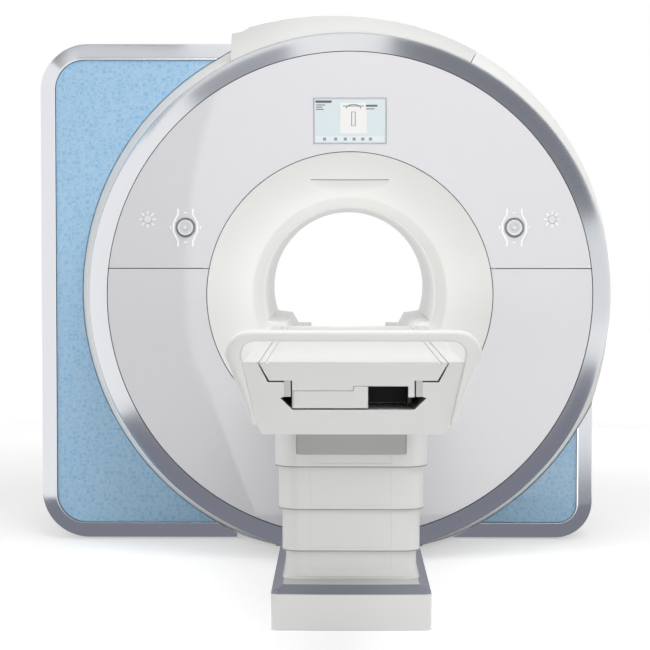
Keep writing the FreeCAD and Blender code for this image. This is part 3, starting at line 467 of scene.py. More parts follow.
for cover in lipShadeSet["covers"]:
    lipShadeStrip("column_cover_" + cover)

# The other solids
for node in frame["nodes"]:
    if node not in modelled:
        dressed(node, edgeSet.get(node, 0.0))
print("solids dressed")


# Silver ring round the face
boreAxis = (0.1335, 1.055)
ringSet = {"width": 0.083, "bulge": 0.007, "lip": 0.008, "wall": 0.010, "seat": 0.020,
           "steps": 10, "segments": 256}


def faceRing():
    lo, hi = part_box("face_ring")
    outer, front, back = (hi[0] - lo[0]) / 2, lo[1], hi[1]
    inner = outer - ringSet["width"]
    seat, wall = front + ringSet["seat"], ringSet["wall"]
    stations = bowed((inner, front), (outer, back - ringSet["lip"]), ringSet["bulge"],
                     ringSet["steps"])
    stations += [(outer, back), (outer - wall, back), (inner + wall, seat), (inner, seat)]
    ring = turnedPiece("face_ring_cover", stations, boreAxis, ringSet["segments"])
    finishPiece(ring, "silver_paint", replaced=["face_ring"])


faceRing()

# Face panels: a slightly domed disc, parted on the seam, with openings for display and controls
panelSet = {
    "inner": 0.564, "dome": 37.0, "thick": 0.012, "steps": 6, "segments": 256, "seam": 1.160,
    "gap": 0.003, "edge": 0.0012, "edgeSteps": 2, "degrees": 50, "displayGap": 0.0005,
    "displayReach": 0.1, "reach": 0.02, "holeSegments": 64,
}
knobSet = {
    "radius": 0.0305, "rim": 0.0065, "rimDepth": 0.003, "chamfer": 0.001, "shank": 0.012,
    "crown": ((1 / 4, 1 / 5), (1 / 2, 0), (3 / 4, 1 / 5)),  # shares of the rim's width and depth
    "hole": 0.0105, "segments": 96, "well": 0.0395, "wellDepth": 0.007,
    # the disc between rim and hole: from which of them, how far outwards and back from the rim
    "disc": (("rim", -0.0004, -0.0005), ("rim", -0.0012, -0.001), ("hole", 0.0008, -0.001),
             ("hole", 0.0001, -0.0004), ("hole", 0.0001, 0.0005), ("rim", -0.0004, 0.0005)),
    "floor": 0.0006, "floorHole": 0.012, "floorGap": 0.0003,
}
lampSet = {"hole": 0.0165, "depth": 0.009}


def faceY(radius):
    # where the dome's face stands at a radius
    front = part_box("face_panel_lower")[0][1]
    return front + (radius ** 2 - panelSet["inner"] ** 2) / (2 * panelSet["dome"])


def controlY(axis):
    return faceY(math.dist(axis, boreAxis))


def discRadius():
    lo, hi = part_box("face_panel_lower")
    return (hi[0] - lo[0]) / 2


def roundBar(radius, front, back, axis):
    # a round cutter along Y
    bpy.ops.mesh.primitive_cylinder_add(
        vertices=panelSet["holeSegments"], radius=radius, depth=back - front,
        location=(axis[0], (front + back) / 2, axis[1]), rotation=upright)
    return bpy.context.active_object


def openings(panel):
    (left, front, low), (right, _, high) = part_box("display_bezel")
    gap, reach = panelSet["displayGap"], panelSet["displayReach"]
    cutAway(panel, squareBar([left - gap, front - reach, low - gap],
                             [right + gap, front + reach, high + gap]))
    for hand in ("left", "right"):
        for node, radius, depth in (("_knob", knobSet["well"], knobSet["wellDepth"]),
                                    ("_lamp_button", lampSet["hole"], lampSet["depth"])):
            axis = middle(hand + node)
            front = controlY(axis)
            cutAway(panel, roundBar(radius, front - panelSet["reach"], front + depth, axis))


def facePanels():
    inner, outer, steps = panelSet["inner"], discRadius(), panelSet["steps"]
    radii = [inner + (outer - inner) * i / steps for i in range(steps + 1)]
    stations = [(radius, faceY(radius)) for radius in radii]
    back = stations[-1][1] + panelSet["thick"]
    stations += [(outer, back), (inner, back)]
    for name, side in (("upper", 1), ("lower", -1)):
        panel = turnedPiece("face_panel_" + name + "_cover", stations, boreAxis,
                            panelSet["segments"])
        closed(panel)
        startEdit()
        cutFlat((0, 0, panelSet["seam"] + side * panelSet["gap"] / 2), (0, 0, side))
        endEdit()
        if name == "upper":
            openings(panel)
        rounded(panel, panelSet["edge"], panelSet["edgeSteps"], panelSet["degrees"])
        finishPiece(panel, "pearl_panel", replaced=["face_panel_" + name])
        evenNormals(panel)


facePanels()

# Painted shade: black rings set deep in the joints round the panels, darkening the gap lines
jointShadeSet = {"depth": 0.004, "thick": 0.005, "clear": 0.0002}


def jointShades():
    gap, clear = panelSet["gap"], jointShadeSet["clear"]
    for name, radius in (("ring_seal", discRadius()), ("funnel_seal", panelSet["inner"] - gap)):
        front = faceY(radius) + jointShadeSet["depth"]
        inner, outer, back = radius + clear, radius + gap - clear, front + jointShadeSet["thick"]
        shadeRing = turnedPiece(name, [(inner, front), (outer, front), (outer, back), (inner, back)],
                           boreAxis, panelSet["segments"])
        finishPiece(shadeRing, "belt_rubber")


jointShades()


def slab(points, front, thick):
    # a flat outline of (x, z) points, drawn back from its front by a thickness
    deselectAll()
    bpy.ops.mesh.primitive_circle_add(vertices=len(points), radius=1, fill_type="NGON",
                                      location=(0, 0, 0), rotation=upright)
    piece = bpy.context.active_object
    bpy.ops.object.transform_apply(location=True, rotation=True, scale=True)
    for vertex, (x, z) in zip(piece.data.vertices, points):
        vertex.co = (x, front, z)
    startEdit()
    bpy.ops.mesh.extrude_region_move(TRANSFORM_OT_translate={"value": (0, thick, 0)})
    endEdit()
    return piece


def slabBox(x0, x1, z0, z1, front, thick):
    return slab([(x0, z0), (x0, z1), (x1, z1), (x1, z0)], front, thick)


def joined(name, pieces):
    deselectAll()
    for piece in pieces:
        piece.select_set(True)
    bpy.context.view_layer.objects.active = pieces[0]
    bpy.ops.object.join()
    pieces[0].name = name
    return pieces[0]


# Funnel round the bore, with a hollow under its brow
funnelSet = {
    "lip": 0.561, "crease": (0.384, 0.160), "mouth": (0.350, 0.246), "bulge": 0.006,
    "seatDepth": 0.018, "flange": 0.025, "flangeThick": 0.012, "wall": 0.006, "backing": 0.030,
    "steps": 16, "segments": 256, "degrees": 22,
}
browSet = {"height": 0.457, "halfWidth": 0.155, "depth": 0.014, "reach": 0.063, "slot": 0.0035,
           "segments": 128}


def brow(front):
    # part of a ball that fades out down the slope and to both sides, cut flat at the brow's height
    creaseRadius, creaseDepth = funnelSet["crease"]
    fall = funnelSet["lip"] - creaseRadius
    slope = math.hypot(fall, creaseDepth)
    down = Vector((0, creaseDepth / slope, -fall / slope))
    out = Vector((0, -fall / slope, -creaseDepth / slope))
    share = (funnelSet["lip"] - browSet["height"]) / fall
    seat = Vector((boreAxis[0], front + share * creaseDepth, boreAxis[1] + browSet["height"]))
    seat += out * 4 * funnelSet["bulge"] * share * (1 - share)
    acrossRound = browSet["height"] / (creaseDepth / slope)
    ball = 1 / (2 * browSet["depth"] / browSet["halfWidth"] ** 2 + 1 / acrossRound)
    ahead = (2 * ball * browSet["depth"] - browSet["reach"] ** 2) / (2 * browSet["reach"])
    deepest = browSet["depth"] + ahead ** 2 / (2 * ball)
    centre = seat - down * ahead + out * (ball - deepest)
    bpy.ops.mesh.primitive_uv_sphere_add(
        segments=browSet["segments"], ring_count=browSet["segments"] // 2, radius=ball,
        location=centre)
    cutter = bpy.context.active_object
    bpy.ops.object.transform_apply(location=True, rotation=True, scale=True)
    startEdit()
    cutFlat((0, 0, boreAxis[1] + browSet["height"]), (0, 0, -1))
    endEdit()
    return cutter


def funnel():
    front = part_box("face_panel_lower")[0][1]
    lip, backing = funnelSet["lip"], funnelSet["backing"]
    (crease, creaseDepth), (mouth, mouthDepth) = funnelSet["crease"], funnelSet["mouth"]
    seat, rim = front + funnelSet["seatDepth"], lip + funnelSet["flange"]
    seatBack, mouthY = seat + funnelSet["flangeThick"], front + mouthDepth
    # the slope bows towards the front and the axis
    slope = bowed((crease, creaseDepth), (lip, 0), funnelSet["bulge"], funnelSet["steps"])
    stations = [(r, front + y) for r, y in slope[::-1]]
    stations += [(mouth, mouthY), (mouth + funnelSet["wall"] + backing / 2, mouthY),
                 (crease + backing, front + creaseDepth + backing / 2), (lip, seatBack),
                 (rim, seatBack), (rim, seat), (lip, seat)]
    piece = turnedPiece("front_funnel_cover", stations, boreAxis, funnelSet["segments"])
    closed(piece)
    # a mid-grey strip fills the top of the hollow, flush with the slope: painted shadow under the
    # brow's lip
    whole = twin(piece, "whole_funnel")
    cutAway(piece, brow(front))
    slot = brow(front)
    slot.name = "brow_slot"
    startEdit()
    cutFlat((0, 0, boreAxis[1] + browSet["height"] - browSet["slot"]), (0, 0, 1))
    endEdit()
    cutAway(slot, whole, "INTERSECT")
    finishPiece(slot, "dark_plastic", material=shadeGrey)
    finishPiece(piece, "white_gloss", replaced=["front_funnel"], degrees=funnelSet["degrees"])
    evenNormals(piece)


funnel()


# Turning knobs: a white rim round a grey disc, in a well whose darker grey is painted shade
def knobs():
    outer, rim, step = knobSet["radius"], knobSet["rim"], knobSet["rimDepth"]
    hole, segments = knobSet["hole"], knobSet["segments"]
    for hand in ("left", "right"):
        node = hand + "_knob"
        lo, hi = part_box(node)
        axis, front, back = middle(node), lo[1], hi[1] - knobSet["shank"]
        stations = [(outer - knobSet["chamfer"], front + step)]
        stations += [(outer - rim * across, front + step * down)
                     for across, down in knobSet["crown"]]
        stations += [(outer - rim, front + step), (hole, front + step), (hole, back), (outer, back)]
        knob = turnedPiece(node + "_rim", stations, axis, segments)
        finishPiece(knob, "button_white", bodyOf[node], [node])
        start = {"rim": outer - rim, "hole": hole}
        disc = turnedPiece(node + "_disc", [(start[edge] + out, front + step + down)
                                            for edge, out, down in knobSet["disc"]], axis, segments)
        finishPiece(disc, "dark_plastic", bodyOf[node], material=discGrey)
        floor = controlY(axis) + knobSet["wellDepth"]
        inner, wide = knobSet["floorHole"], knobSet["well"] - knobSet["floorGap"]
        top = floor - knobSet["floor"]
        well = turnedPiece(hand + "_knob_well", [
            (inner, top), (wide, top), (wide, floor), (inner, floor)], axis, segments)
        finishPiece(well, "dark_plastic", material=shadeGrey)


knobs()

# Raised white marks round the controls
markSet = {
    "rise": 0.0014, "sink": 0.0012, "line": 0.0075, "tick": (0.013, 0.005), "tickOut": 0.058,
    "linePath": [(0.029, 0.074), (0.029, 0.052), (0.0365, 0.038), (0.047, 0.017),
                 (0.047, -0.017), (0.0365, -0.038), (0.029, -0.052), (0.029, -0.074)],
    "ray": (0.0185, 0.033, 0.0055), "rays": 8,
}


def controlMarks():
    thick, half = markSet["rise"] + markSet["sink"], markSet["line"] / 2
    (wide, tall), tickOut = markSet["tick"], markSet["tickOut"]
    (near, far, rayWide), rays = markSet["ray"], markSet["rays"]
    ray = ((near, -rayWide / 2), (far, -rayWide / 2), (far, rayWide / 2), (near, rayWide / 2))
    for hand in ("left", "right"):
        cx, cz = middle(hand + "_knob")
        front = controlY((cx, cz)) - markSet["rise"]
        made = []
        for way in (-1, 1):
            inner, outer = ([(cx + way * (x + side), cz + z) for x, z in markSet["linePath"]]
                            for side in (-half, half))
            made.append(slab(inner + outer[::-1], front, thick))
        for x, z, a, b in ((0, 1, wide, tall), (0, -1, wide, tall), (1, 0, tall, wide),
                           (-1, 0, tall, wide)):
            x, z = cx + x * tickOut, cz + z * tickOut
            made.append(slabBox(x - a / 2, x + a / 2, z - b / 2, z + b / 2, front, thick))
        sx, sz = middle(hand + "_lamp_button")
        front = controlY((sx, sz)) - markSet["rise"]
        for i in range(rays):
            c, n = math.cos(2 * math.pi * i / rays), math.sin(2 * math.pi * i / rays)
            made.append(slab([(sx + c * r - n * w, sz + n * r + c * w) for r, w in ray], front,
                             thick))
        finishPiece(joined(hand + "_control_marks", made), "button_white")


controlMarks()

# What the display shows: plain fields and a drawing of bore and table, in shares of its size
fieldSet = {
    "thick": 0.0003,
    "pale": [(0.366, 0.738, 0.080, 0.790)],
    "bar": [(0.015, 0.985, 0.850, 0.985)],
    "ink": [(0.010, 0.240, 0.030, 0.085), (0.020, 0.150, 0.125, 0.145),
            (0.020, 0.110, 0.175, 0.195), (0.020, 0.130, 0.225, 0.245),
            (0.725, 0.890, 0.130, 0.175), (0.725, 0.850, 0.215, 0.235),
            (0.400, 0.700, 0.150, 0.168), (0.520, 0.580, 0.290, 0.300),
            (0.520, 0.530, 0.290, 0.620), (0.570, 0.580, 0.290, 0.620),
            (0.520, 0.580, 0.610, 0.620)],
    "icon": [(u - 0.022, u + 0.022, 0.885, 0.955)
             for u in (0.14, 0.298, 0.435, 0.560, 0.683, 0.793)],
    "bore": (0.550, 0.215), "boreHalf": (0.110, 0.100), "boreLine": (0.012, 0.018),
    "boreSteps": 32,
    # piece: its fields, its layer and its colour
    "pieces": {"display_pale_field": ("pale", 1, "#fafaf8"), "display_bar": ("bar", 1, "#edf4f8"),
               "display_ink": ("ink", 2, "#4a5256"), "display_icons": ("icon", 2, "#8e979b")},
}


def displayFields():
    lo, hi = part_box("display_screen")
    wide, tall = hi[0] - lo[0], hi[2] - lo[2]

    def place(u, v):
        return lo[0] + u * wide, hi[2] - v * tall

    def arch(inset):
        # the bore's upper half, from right to left
        (cx, cz), (across, up) = place(*fieldSet["bore"]), fieldSet["boreHalf"]
        turns = [math.pi * i / fieldSet["boreSteps"] for i in range(fieldSet["boreSteps"] + 1)]
        return [(cx + math.cos(turn) * (across - inset[0]) * wide,
                 cz + math.sin(turn) * (up - inset[1]) * tall) for turn in turns]

    for name, (key, layer, colour) in fieldSet["pieces"].items():
        front, thick = lo[1] - fieldSet["thick"] * layer, fieldSet["thick"] * layer
        made = []
        for u0, u1, v0, v1 in fieldSet[key]:
            (x0, z1), (x1, z0) = place(u0, v0), place(u1, v1)
            made.append(slabBox(x0, x1, z0, z1, front, thick))
        if key == "ink":
            made.append(slab(arch((0, 0)) + arch(fieldSet["boreLine"])[::-1], front, thick))
        finishPiece(joined(name, made), "screen_glass", material=litField(colour))


displayFields()

# Painted shade: a black sheet lining the hollow in the table's foot end
cavityShadeSet = {"grow": 0.0014, "wall": 0.0004, "setBack": 0.0016, "facing": -0.5}


def cavityShade():
    lo, hi = next(opening["box_m"] for opening in frame["record"]["physics"]["openings"]
                  if opening["name"] == "table_end_cavity")
    front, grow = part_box("tabletop")[0][1] + cavityShadeSet["setBack"], cavityShadeSet["grow"]
    shadeSheet = squareBar([lo[0] - grow, front, lo[2]],
                       [hi[0] + grow, hi[1] - grow, hi[2] + grow])
    shadeSheet.name = "end_cavity_lining"
    makeActive(shadeSheet)
    bpy.ops.object.transform_apply(location=True, rotation=True, scale=True)
    startEdit()
    # open in front and below
    pick(shadeSheet, lambda normal: min(normal.y, normal.z) < cavityShadeSet["facing"], "FACE")
    bpy.ops.mesh.delete(type="FACE")
    endEdit()
    applied(shadeSheet, "SOLIDIFY", thickness=cavityShadeSet["wall"])
    finishPiece(shadeSheet, "belt_rubber", "tabletop")


cavityShade()

# Outside of the collar: a cone that widens backwards
coneSet = {"growth": 0.19, "gap": 0.003, "extra": 0.02, "segments": 256}

# Cheek under the hood's left edge: closes the wedge between the hood, the collar and the left frame
cheekSet = {
    "thick": 0.006, "under": 0.004, "seat": 0.003, "collarRadius": 1.0385, "steps": 6,
    # inside of the hood's rounded front: behind its edge, and below the side cover's top
    "lip": ((0.0045, 0.1270), (0.0110, 0.1085), (0.0185, 0.0940), (0.0265, 0.0785),
            (0.0360, 0.0640), (0.0460, 0.0505), (0.0560, 0.0385), (0.0680, 0.0265),
            (0.0810, 0.0150), (0.0950, 0.0040)),
}


def hoodCheek():
    left, front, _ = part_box("top_hood")[0]
    level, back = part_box("left_side_cover")[1][2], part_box("left_frame")[1][1]
    outline = [(front + y, level - z) for y, z in cheekSet["lip"]]
    outline += [(back, level - cheekSet["under"])]
    start, aside = front + cheekSet["lip"][0][0], boreAxis[0] - left
    for i in range(cheekSet["steps"] + 1):
        y = back + (start - back) * i / cheekSet["steps"]
        radius = cheekSet["collarRadius"] + coneSet["growth"] * (y - front)
        outline.append((y, boreAxis[1] + math.sqrt(radius ** 2 - aside ** 2) - cheekSet["seat"]))
    piece = newPiece("hood_cheek", [(left, y, z) for y, z in outline],
                     [tuple(range(len(outline)))])
    startEdit()
    bpy.ops.mesh.extrude_region_move(TRANSFORM_OT_translate={"value": (cheekSet["thick"], 0, 0)})
    endEdit()
    finishPiece(piece, "white_gloss", material=shadedHoodPaint)


hoodCheek()

# Push hoop: a rounded bar over the table's end and down both sides, narrowing to its feet
hoopSet = {
    "half": 0.350, "corner": 0.068, "bar": 0.030, "shoulder": 0.955, "innerHalf": 0.3057,
    "outerFoot": 0.273, "innerFoot": 0.263, "outerRound": 0.016, "innerRound": 0.004,
    "outerShare": 0.6, "innerShare": 0.3, "arcs": 10, "roundSteps": 5, "legSteps": 8,
}


def hoopPairs(foot, top):
    # inner and outer edge of the bar as (x, z), from the left foot over the top to the right one
    half, innerHalf, shoulder = (hoopSet[k] for k in ("half", "innerHalf", "shoulder"))
    bar, corner = hoopSet["bar"], hoopSet["corner"]
    innerCorner = corner - bar
    pairs = [((0, top - bar), (0, top))]
    for i in range(hoopSet["arcs"] + 1):
        turn = math.radians(90 - 90 * i / hoopSet["arcs"])
        c, n = math.cos(turn), math.sin(turn)
        pairs.append(((innerHalf - innerCorner + c * innerCorner, top - corner + n * innerCorner),
                      (half - corner + c * corner, top - corner + n * corner)))
    for i in range(1, hoopSet["legSteps"] + 1):
        t = i / hoopSet["legSteps"]
        down = shoulder + (foot - shoulder) * t
        pairs.append(((innerHalf + (hoopSet["innerFoot"] - innerHalf) * t, down),
                      (half + (hoopSet["outerFoot"] - half) * t, down)))
    return [((-a[0], a[1]), (-b[0], b[1])) for a, b in pairs[:0:-1]] + pairs


def hoop():
    (_, front, foot), (_, back, top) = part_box("table_hoop")
    steps = hoopSet["roundSteps"]
    points = []
    for (ax, az), (bx, bz) in hoopPairs(foot, top):
        # one ring round the bar: a rectangle with four rounded corners
        wide = math.dist((ax, az), (bx, bz))
        u = ((bx - ax) / wide, (bz - az) / wide)
        big = min(hoopSet["outerRound"], wide * hoopSet["outerShare"])
        small = min(hoopSet["innerRound"], wide * hoopSet["innerShare"])
        for (across, along), radius, start in (
                ((small, back - small), small, 180), ((wide - big, back - big), big, 90),
                ((wide - big, front + big), big, 0), ((small, front + small), small, -90)):
            for i in range(steps + 1):
                turn = math.radians(start - 90 * i / steps)
                s, y = across + math.cos(turn) * radius, along + math.sin(turn) * radius
                points.append((boreAxis[0] + ax + u[0] * s, y, az + u[1] * s))
    count = 4 * (steps + 1)
    faces = [(k + i, k + (i + 1) % count, k + count + (i + 1) % count, k + count + i)
             for k in range(0, len(points) - count, count) for i in range(count)]
    faces += [tuple(range(count)), tuple(range(len(points) - count, len(points)))]
    piece = newPiece("table_hoop_cover", points, faces)
    finishPiece(piece, "hoop_lacquer", bodyOf["table_hoop"], ["table_hoop"])


hoop()

# Side frames: rounded rectangles whose fronts slope back to their outer edges
frameSet = {
    "left": -1.1735, "right": 1.1675, "bottom": 0.006, "top": 2.101, "leftCorner": 0.200,
    "rightCorner": 0.155, "width": 0.075, "land": 0.006, "lip": 0.014, "outerRound": 0.012,
    "outerSteps": 6, "landRound": 0.003, "landSteps": 3, "arcs": 24,
}
keepSet = {
    # planes that each frame ends at, and the side that stays
    "left": [((-0.343, 0, 0), (-1, 0, 0))],
    "right": [((0.5335, 0, 0), (1, 0, 0)), ((0, 0, 0.700), (0, 0, -1))],
}


def collarCone():
    # the collar's outside, as a cutter a little longer than the frames are deep
    lo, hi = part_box("left_frame")
    (ringLeft, _, _), (ringRight, ringBack, _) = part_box("face_ring")
    start = (ringRight - ringLeft) / 2 + coneSet["gap"]
    front, back = lo[1] - coneSet["extra"], hi[1] + coneSet["extra"]
    small, large = (start + coneSet["growth"] * (y - ringBack) for y in (front, back))
    bpy.ops.mesh.primitive_cone_add(
        vertices=coneSet["segments"], radius1=large, radius2=small, depth=back - front,
        location=(boreAxis[0], (front + back) / 2, boreAxis[1]), rotation=upright)
    return bpy.context.active_object


def onLand(co, front):
    # on the front's crease between slope and land, and not on the land's inner side
    slope = frameSet["width"] - frameSet["land"]
    left, right = frameSet["left"] + slope, frameSet["right"] - slope
    bottom, top = frameSet["bottom"] + slope, frameSet["top"] - slope
    past = min(co.x - left, right - co.x, co.z - bottom, top - co.z)
    corner = frameSet["leftCorner" if co.x < 0 else "rightCorner"] - slope
    across = max(left + corner - co.x, co.x - right + corner, 0)
    up = max(bottom + corner - co.z, co.z - top + corner, 0)
    if across > 0 and up > 0:
        past = corner - math.hypot(across, up)
    return abs(co.y - front) < mergeSet["near"] and past < frameSet["land"] / 2


def sideFrame(side):
    node, width, land = side + "_frame", frameSet["width"], frameSet["land"]
    (_, front, _), (_, back, _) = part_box(node)
    left, right, bottom, top = (frameSet[k] for k in ("left", "right", "bottom", "top"))
    slopeEnd = back - frameSet["lip"]

    def at(level):
        return lambda co: abs(co.y - level) < mergeSet["near"]

    deselectAll()
    bpy.ops.mesh.primitive_plane_add(
        size=1, location=((left + right) / 2, slopeEnd, (bottom + top) / 2), rotation=upright)
    piece = bpy.context.active_object
    piece.name = node + "_cover"
    piece.scale = (right - left, top - bottom, 1)
    bpy.ops.object.transform_apply(location=True, rotation=True, scale=True)
    startEdit()
    for corner, way in (("leftCorner", -1), ("rightCorner", 1)):
        pick(piece, lambda co: co.x * way > 0)
        bpy.ops.mesh.bevel(offset=frameSet[corner], segments=frameSet["arcs"], affect="VERTICES")
    # slope, land, inner side, outer side and back, in this order
    selectAll()
    bpy.ops.mesh.inset(thickness=width - land, depth=slopeEnd - front, use_even_offset=True)
    bpy.ops.mesh.inset(thickness=land, depth=0, use_even_offset=True)
    bpy.ops.mesh.extrude_region_move(TRANSFORM_OT_translate={"value": (0, back - front, 0)})
    bpy.ops.mesh.delete(type="FACE")
    pick(piece, at(slopeEnd))
    bpy.ops.mesh.extrude_edges_move(TRANSFORM_OT_translate={"value": (0, back - slopeEnd, 0)})
    pick(piece, at(back))
    bpy.ops.mesh.bridge_edge_loops()
    selectAll()
    bpy.ops.mesh.normals_make_consistent(inside=False)
    for test, name in ((at(slopeEnd), "outer"), (lambda co: onLand(co, front), "land")):
        pick(piece, test)
        bpy.ops.mesh.bevel(offset=frameSet[name + "Round"], segments=frameSet[name + "Steps"],
                           affect="EDGES")
    for place, normal in keepSet[side]:
        cutFlat(place, normal)
    endEdit()
    cutAway(piece, collarCone())
    finishPiece(piece, "silver_paint", replaced=[node])
    evenNormals(piece)


sideFrame("left")
sideFrame("right")
print("ring, panels and frames modelled")


# Stage, lights and camera
stageSet = {
    "floorSize": 40.0, "floorColour": "#dcdcdc", "glowNear": (3.0, 0.46), "glowFar": (9.0, 0.78),
    "airFill": 0.42,
}
cardSet = {
    # cards that only shiny surfaces see: place, aim, width, height, grey
    "ringUpperLeft": ((-0.85, 0.33, 3.02), (-0.37, 0.33, 2.10), 1.56, 1.0, "#abacb2"),
    "frameCorner": ((-1.10, 1.20, 2.48), (-1.01, 1.20, 1.94), 0.17, 1.0, "#5f6066"),
    "upperRight": ((1.95, 1.0, 3.10), (0.1335, 1.0, 1.055), 2.5, 3.4, "#83858c"),
    "right": ((3.6, 1.0, 1.4), (0.1335, 1.0, 1.3), 3.4, 1.6, "#ecedee"),
    "under": ((0.90, 1.2, 0.004), (0.90, 1.2, 1.0), 5.3, 2.0, "#83858f"),
}
faceCardSet = {
    # what the face's clear coat mirrors: a bright oval behind the camera, and its foot on the floor
    "place": (0.9, -9.2, 1.0), "wide": 2.5, "tall": 4.0, "segments": 96, "strength": 3.0,
    "floor": [(-0.30, -0.60), (3.00, -0.60), (-1.45, -9.20), (3.40, -9.20)], "rise": 0.003,
}
lightSet = {
    # softboxes: place, aim, width, height, radiance
    "key": ((1.6, -6.2, 5.2), (0.13, -0.3, 1.0), 6.0, 4.4, 0.98),
    "front": ((1.0, -9.0, 2.9), (0.13, -0.5, 0.7), 5.0, 3.0, 0.2),
    "low": ((0.13, -1.95, 0.10), (0.13, -1.0, 0.10), 1.6, 0.16, 1.5),
    "top": ((0.4, -2.3, 4.6), (0.4, -2.29, 0.9), 3.0, 3.4, 4.1),
    "left": ((-3.3, -1.7, 0.45), (0.1, -1.0, 0.3), 2.6, 0.8, 5.0),
    "right": ((3.6, -1.7, 0.45), (0.1, -1.0, 0.3), 2.6, 0.8, 3.6),
    "rear": ((0.6, 6.0, 1.5), (0.12, 1.2, 1.05), 2.6, 2.2, 2.2),
}
boreLampSet = {"place": (0.11, 0.45, 1.14), "radius": 0.15, "power": 1.9}
cameraSet = {"place": (0.1015, -7.413, 1.2603), "tiltDown": 2.38, "turnLeft": 0.4825,
             "roll": -0.022, "lens": 109.4, "sensor": 36, "farthest": 100}


def paleMix(tree):
    # 1 for what the camera, mirrors and glass see, 0 for light that falls on the object
    path = addNode(tree, "ShaderNodeLightPath")
    either = addNode(tree, "ShaderNodeMath", {"operation": "MAXIMUM"},
                     {0: (path, "Is Camera Ray"), 1: (path, "Is Glossy Ray")})
    return addNode(tree, "ShaderNodeMath", {"operation": "MAXIMUM"},
                   {0: (either, "Value"), 1: (path, "Is Transmission Ray")})


def stageWhite():
    # white paper floor: reads as white, and still takes the object's shadow
    material, tree = newMaterial("white paper floor")
    seen = paleMix(tree)
    path = addNode(tree, "ShaderNodeLightPath")
    coords = addNode(tree, "ShaderNodeTexCoord")
    away = addNode(tree, "ShaderNodeVectorMath", {"operation": "LENGTH"},
                   {"Vector": (coords, "Object")})
    (nearAt, nearGlow), (farAt, farGlow) = stageSet["glowNear"], stageSet["glowFar"]
    lift = addNode(tree, "ShaderNodeMapRange", {
        "From Min": nearAt, "From Max": farAt, "To Min": nearGlow, "To Max": farGlow,
    }, {"Value": (away, "Value")})
    paper = addNode(tree, "ShaderNodeBsdfDiffuse", {"Color": toLinear(stageSet["floorColour"])})
    glow = addNode(tree, "ShaderNodeEmission", {"Color": (1, 1, 1, 1)},
                   {"Strength": (lift, "Result")})
    white = addNode(tree, "ShaderNodeEmission", {"Color": (1, 1, 1, 1), "Strength": 1.0})
    both = addNode(tree, "ShaderNodeAddShader", links={0: (paper, "BSDF"), 1: (glow, "Emission")})
    mirrored = addNode(tree, "ShaderNodeMixShader", links={
        "Fac": (seen, "Value"), 1: (paper, "BSDF"), 2: (white, "Emission")})
    direct = addNode(tree, "ShaderNodeMixShader", links={
        "Fac": (path, "Is Camera Ray"), 1: (mirrored, "Shader"), 2: (both, "Shader")})
    addNode(tree, "ShaderNodeOutputMaterial", links={"Surface": (direct, "Shader")})
    return material


def cardPaper(grey, strength=1.0):
    # lit studio card
    material, tree = newMaterial("studio card")
    glow = addNode(tree, "ShaderNodeEmission", {"Color": toLinear(grey), "Strength": strength})
    addNode(tree, "ShaderNodeOutputMaterial", links={"Surface": (glow, "Emission")})
    return material


def facing(place, aim):
    return (Vector(aim) - Vector(place)).to_track_quat("-Z", "Y").to_euler()


def hangCard(card, name, material):
    card.name = name
    give(card, material)
    for ray in ("camera", "diffuse", "shadow", "transmission"):
        setattr(card, "visible_" + ray, False)


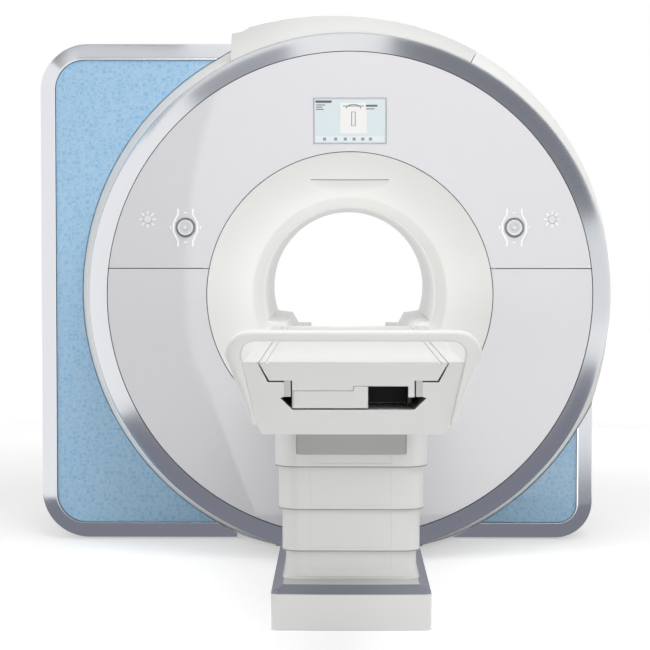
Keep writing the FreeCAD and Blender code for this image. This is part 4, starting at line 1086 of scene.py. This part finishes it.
def buildStage():
    bpy.ops.mesh.primitive_plane_add(size=stageSet["floorSize"], location=(0, 0, 0))
    floor = bpy.context.active_object
    floor.name = "studioFloor"
    give(floor, stageWhite())
    for name, (place, aim, width, height, grey) in cardSet.items():
        bpy.ops.mesh.primitive_plane_add(size=1, location=place, rotation=facing(place, aim))
        card = bpy.context.active_object
        card.scale = (width, height, 1)
        hangCard(card, name + "Card", cardPaper(grey))
    bright = cardPaper("#ffffff", faceCardSet["strength"])
    bpy.ops.mesh.primitive_circle_add(vertices=faceCardSet["segments"], radius=1, fill_type="NGON",
                                      location=faceCardSet["place"], rotation=upright)
    oval = bpy.context.active_object
    oval.scale = (faceCardSet["wide"], faceCardSet["tall"], 1)
    hangCard(oval, "faceCard", bright)
    bpy.ops.mesh.primitive_plane_add(size=1)
    foot = bpy.context.active_object
    for vertex, (x, y) in zip(foot.data.vertices, faceCardSet["floor"]):
        vertex.co = (x, y, faceCardSet["rise"])
    hangCard(foot, "faceCardFoot", bright)


def hangLamp(name, kind, place, turn, **settings):
    # a lamp that neither the camera nor a shiny surface shows
    bpy.ops.object.light_add(type=kind, location=place, rotation=turn)
    lamp = bpy.context.active_object
    lamp.name = name
    for setting, value in settings.items():
        setattr(lamp.data, setting, value)
    lamp.visible_camera = lamp.visible_glossy = False


def buildLights():
    for name, (place, aim, width, height, radiance) in lightSet.items():
        hangLamp(name + "Softbox", "AREA", place, facing(place, aim), shape="RECTANGLE",
                 size=width, size_y=height, energy=radiance * math.pi * width * height)
    hangLamp("boreLamp", "POINT", boreLampSet["place"], (0, 0, 0),
             shadow_soft_size=boreLampSet["radius"], energy=boreLampSet["power"])
    world = bpy.data.worlds.new("studioAir")
    bpy.context.scene.world = world
    world.use_nodes = True
    tree = world.node_tree
    tree.nodes.clear()
    fill = addNode(tree, "ShaderNodeBackground", {
        "Color": (1, 1, 1, 1), "Strength": stageSet["airFill"]})
    white = addNode(tree, "ShaderNodeBackground", {"Color": (1, 1, 1, 1), "Strength": 1.0})
    air = addNode(tree, "ShaderNodeMixShader", links={
        "Fac": (paleMix(tree), "Value"), 1: (fill, "Background"), 2: (white, "Background")})
    addNode(tree, "ShaderNodeOutputWorld", links={"Surface": (air, "Shader")})


def buildCamera():
    tilt, roll, turn = (cameraSet[k] for k in ("tiltDown", "roll", "turnLeft"))
    bpy.ops.object.camera_add(location=cameraSet["place"], rotation=(
        math.radians(90 - tilt), math.radians(roll), math.radians(turn)))
    camera = bpy.context.active_object
    camera.data.lens = cameraSet["lens"]
    camera.data.sensor_width = cameraSet["sensor"]
    camera.data.clip_end = cameraSet["farthest"]
    bpy.context.scene.camera = camera


buildStage()
buildLights()
buildCamera()
bpy.context.scene.view_settings.view_transform = "Standard"
print("stage, lights and camera set")
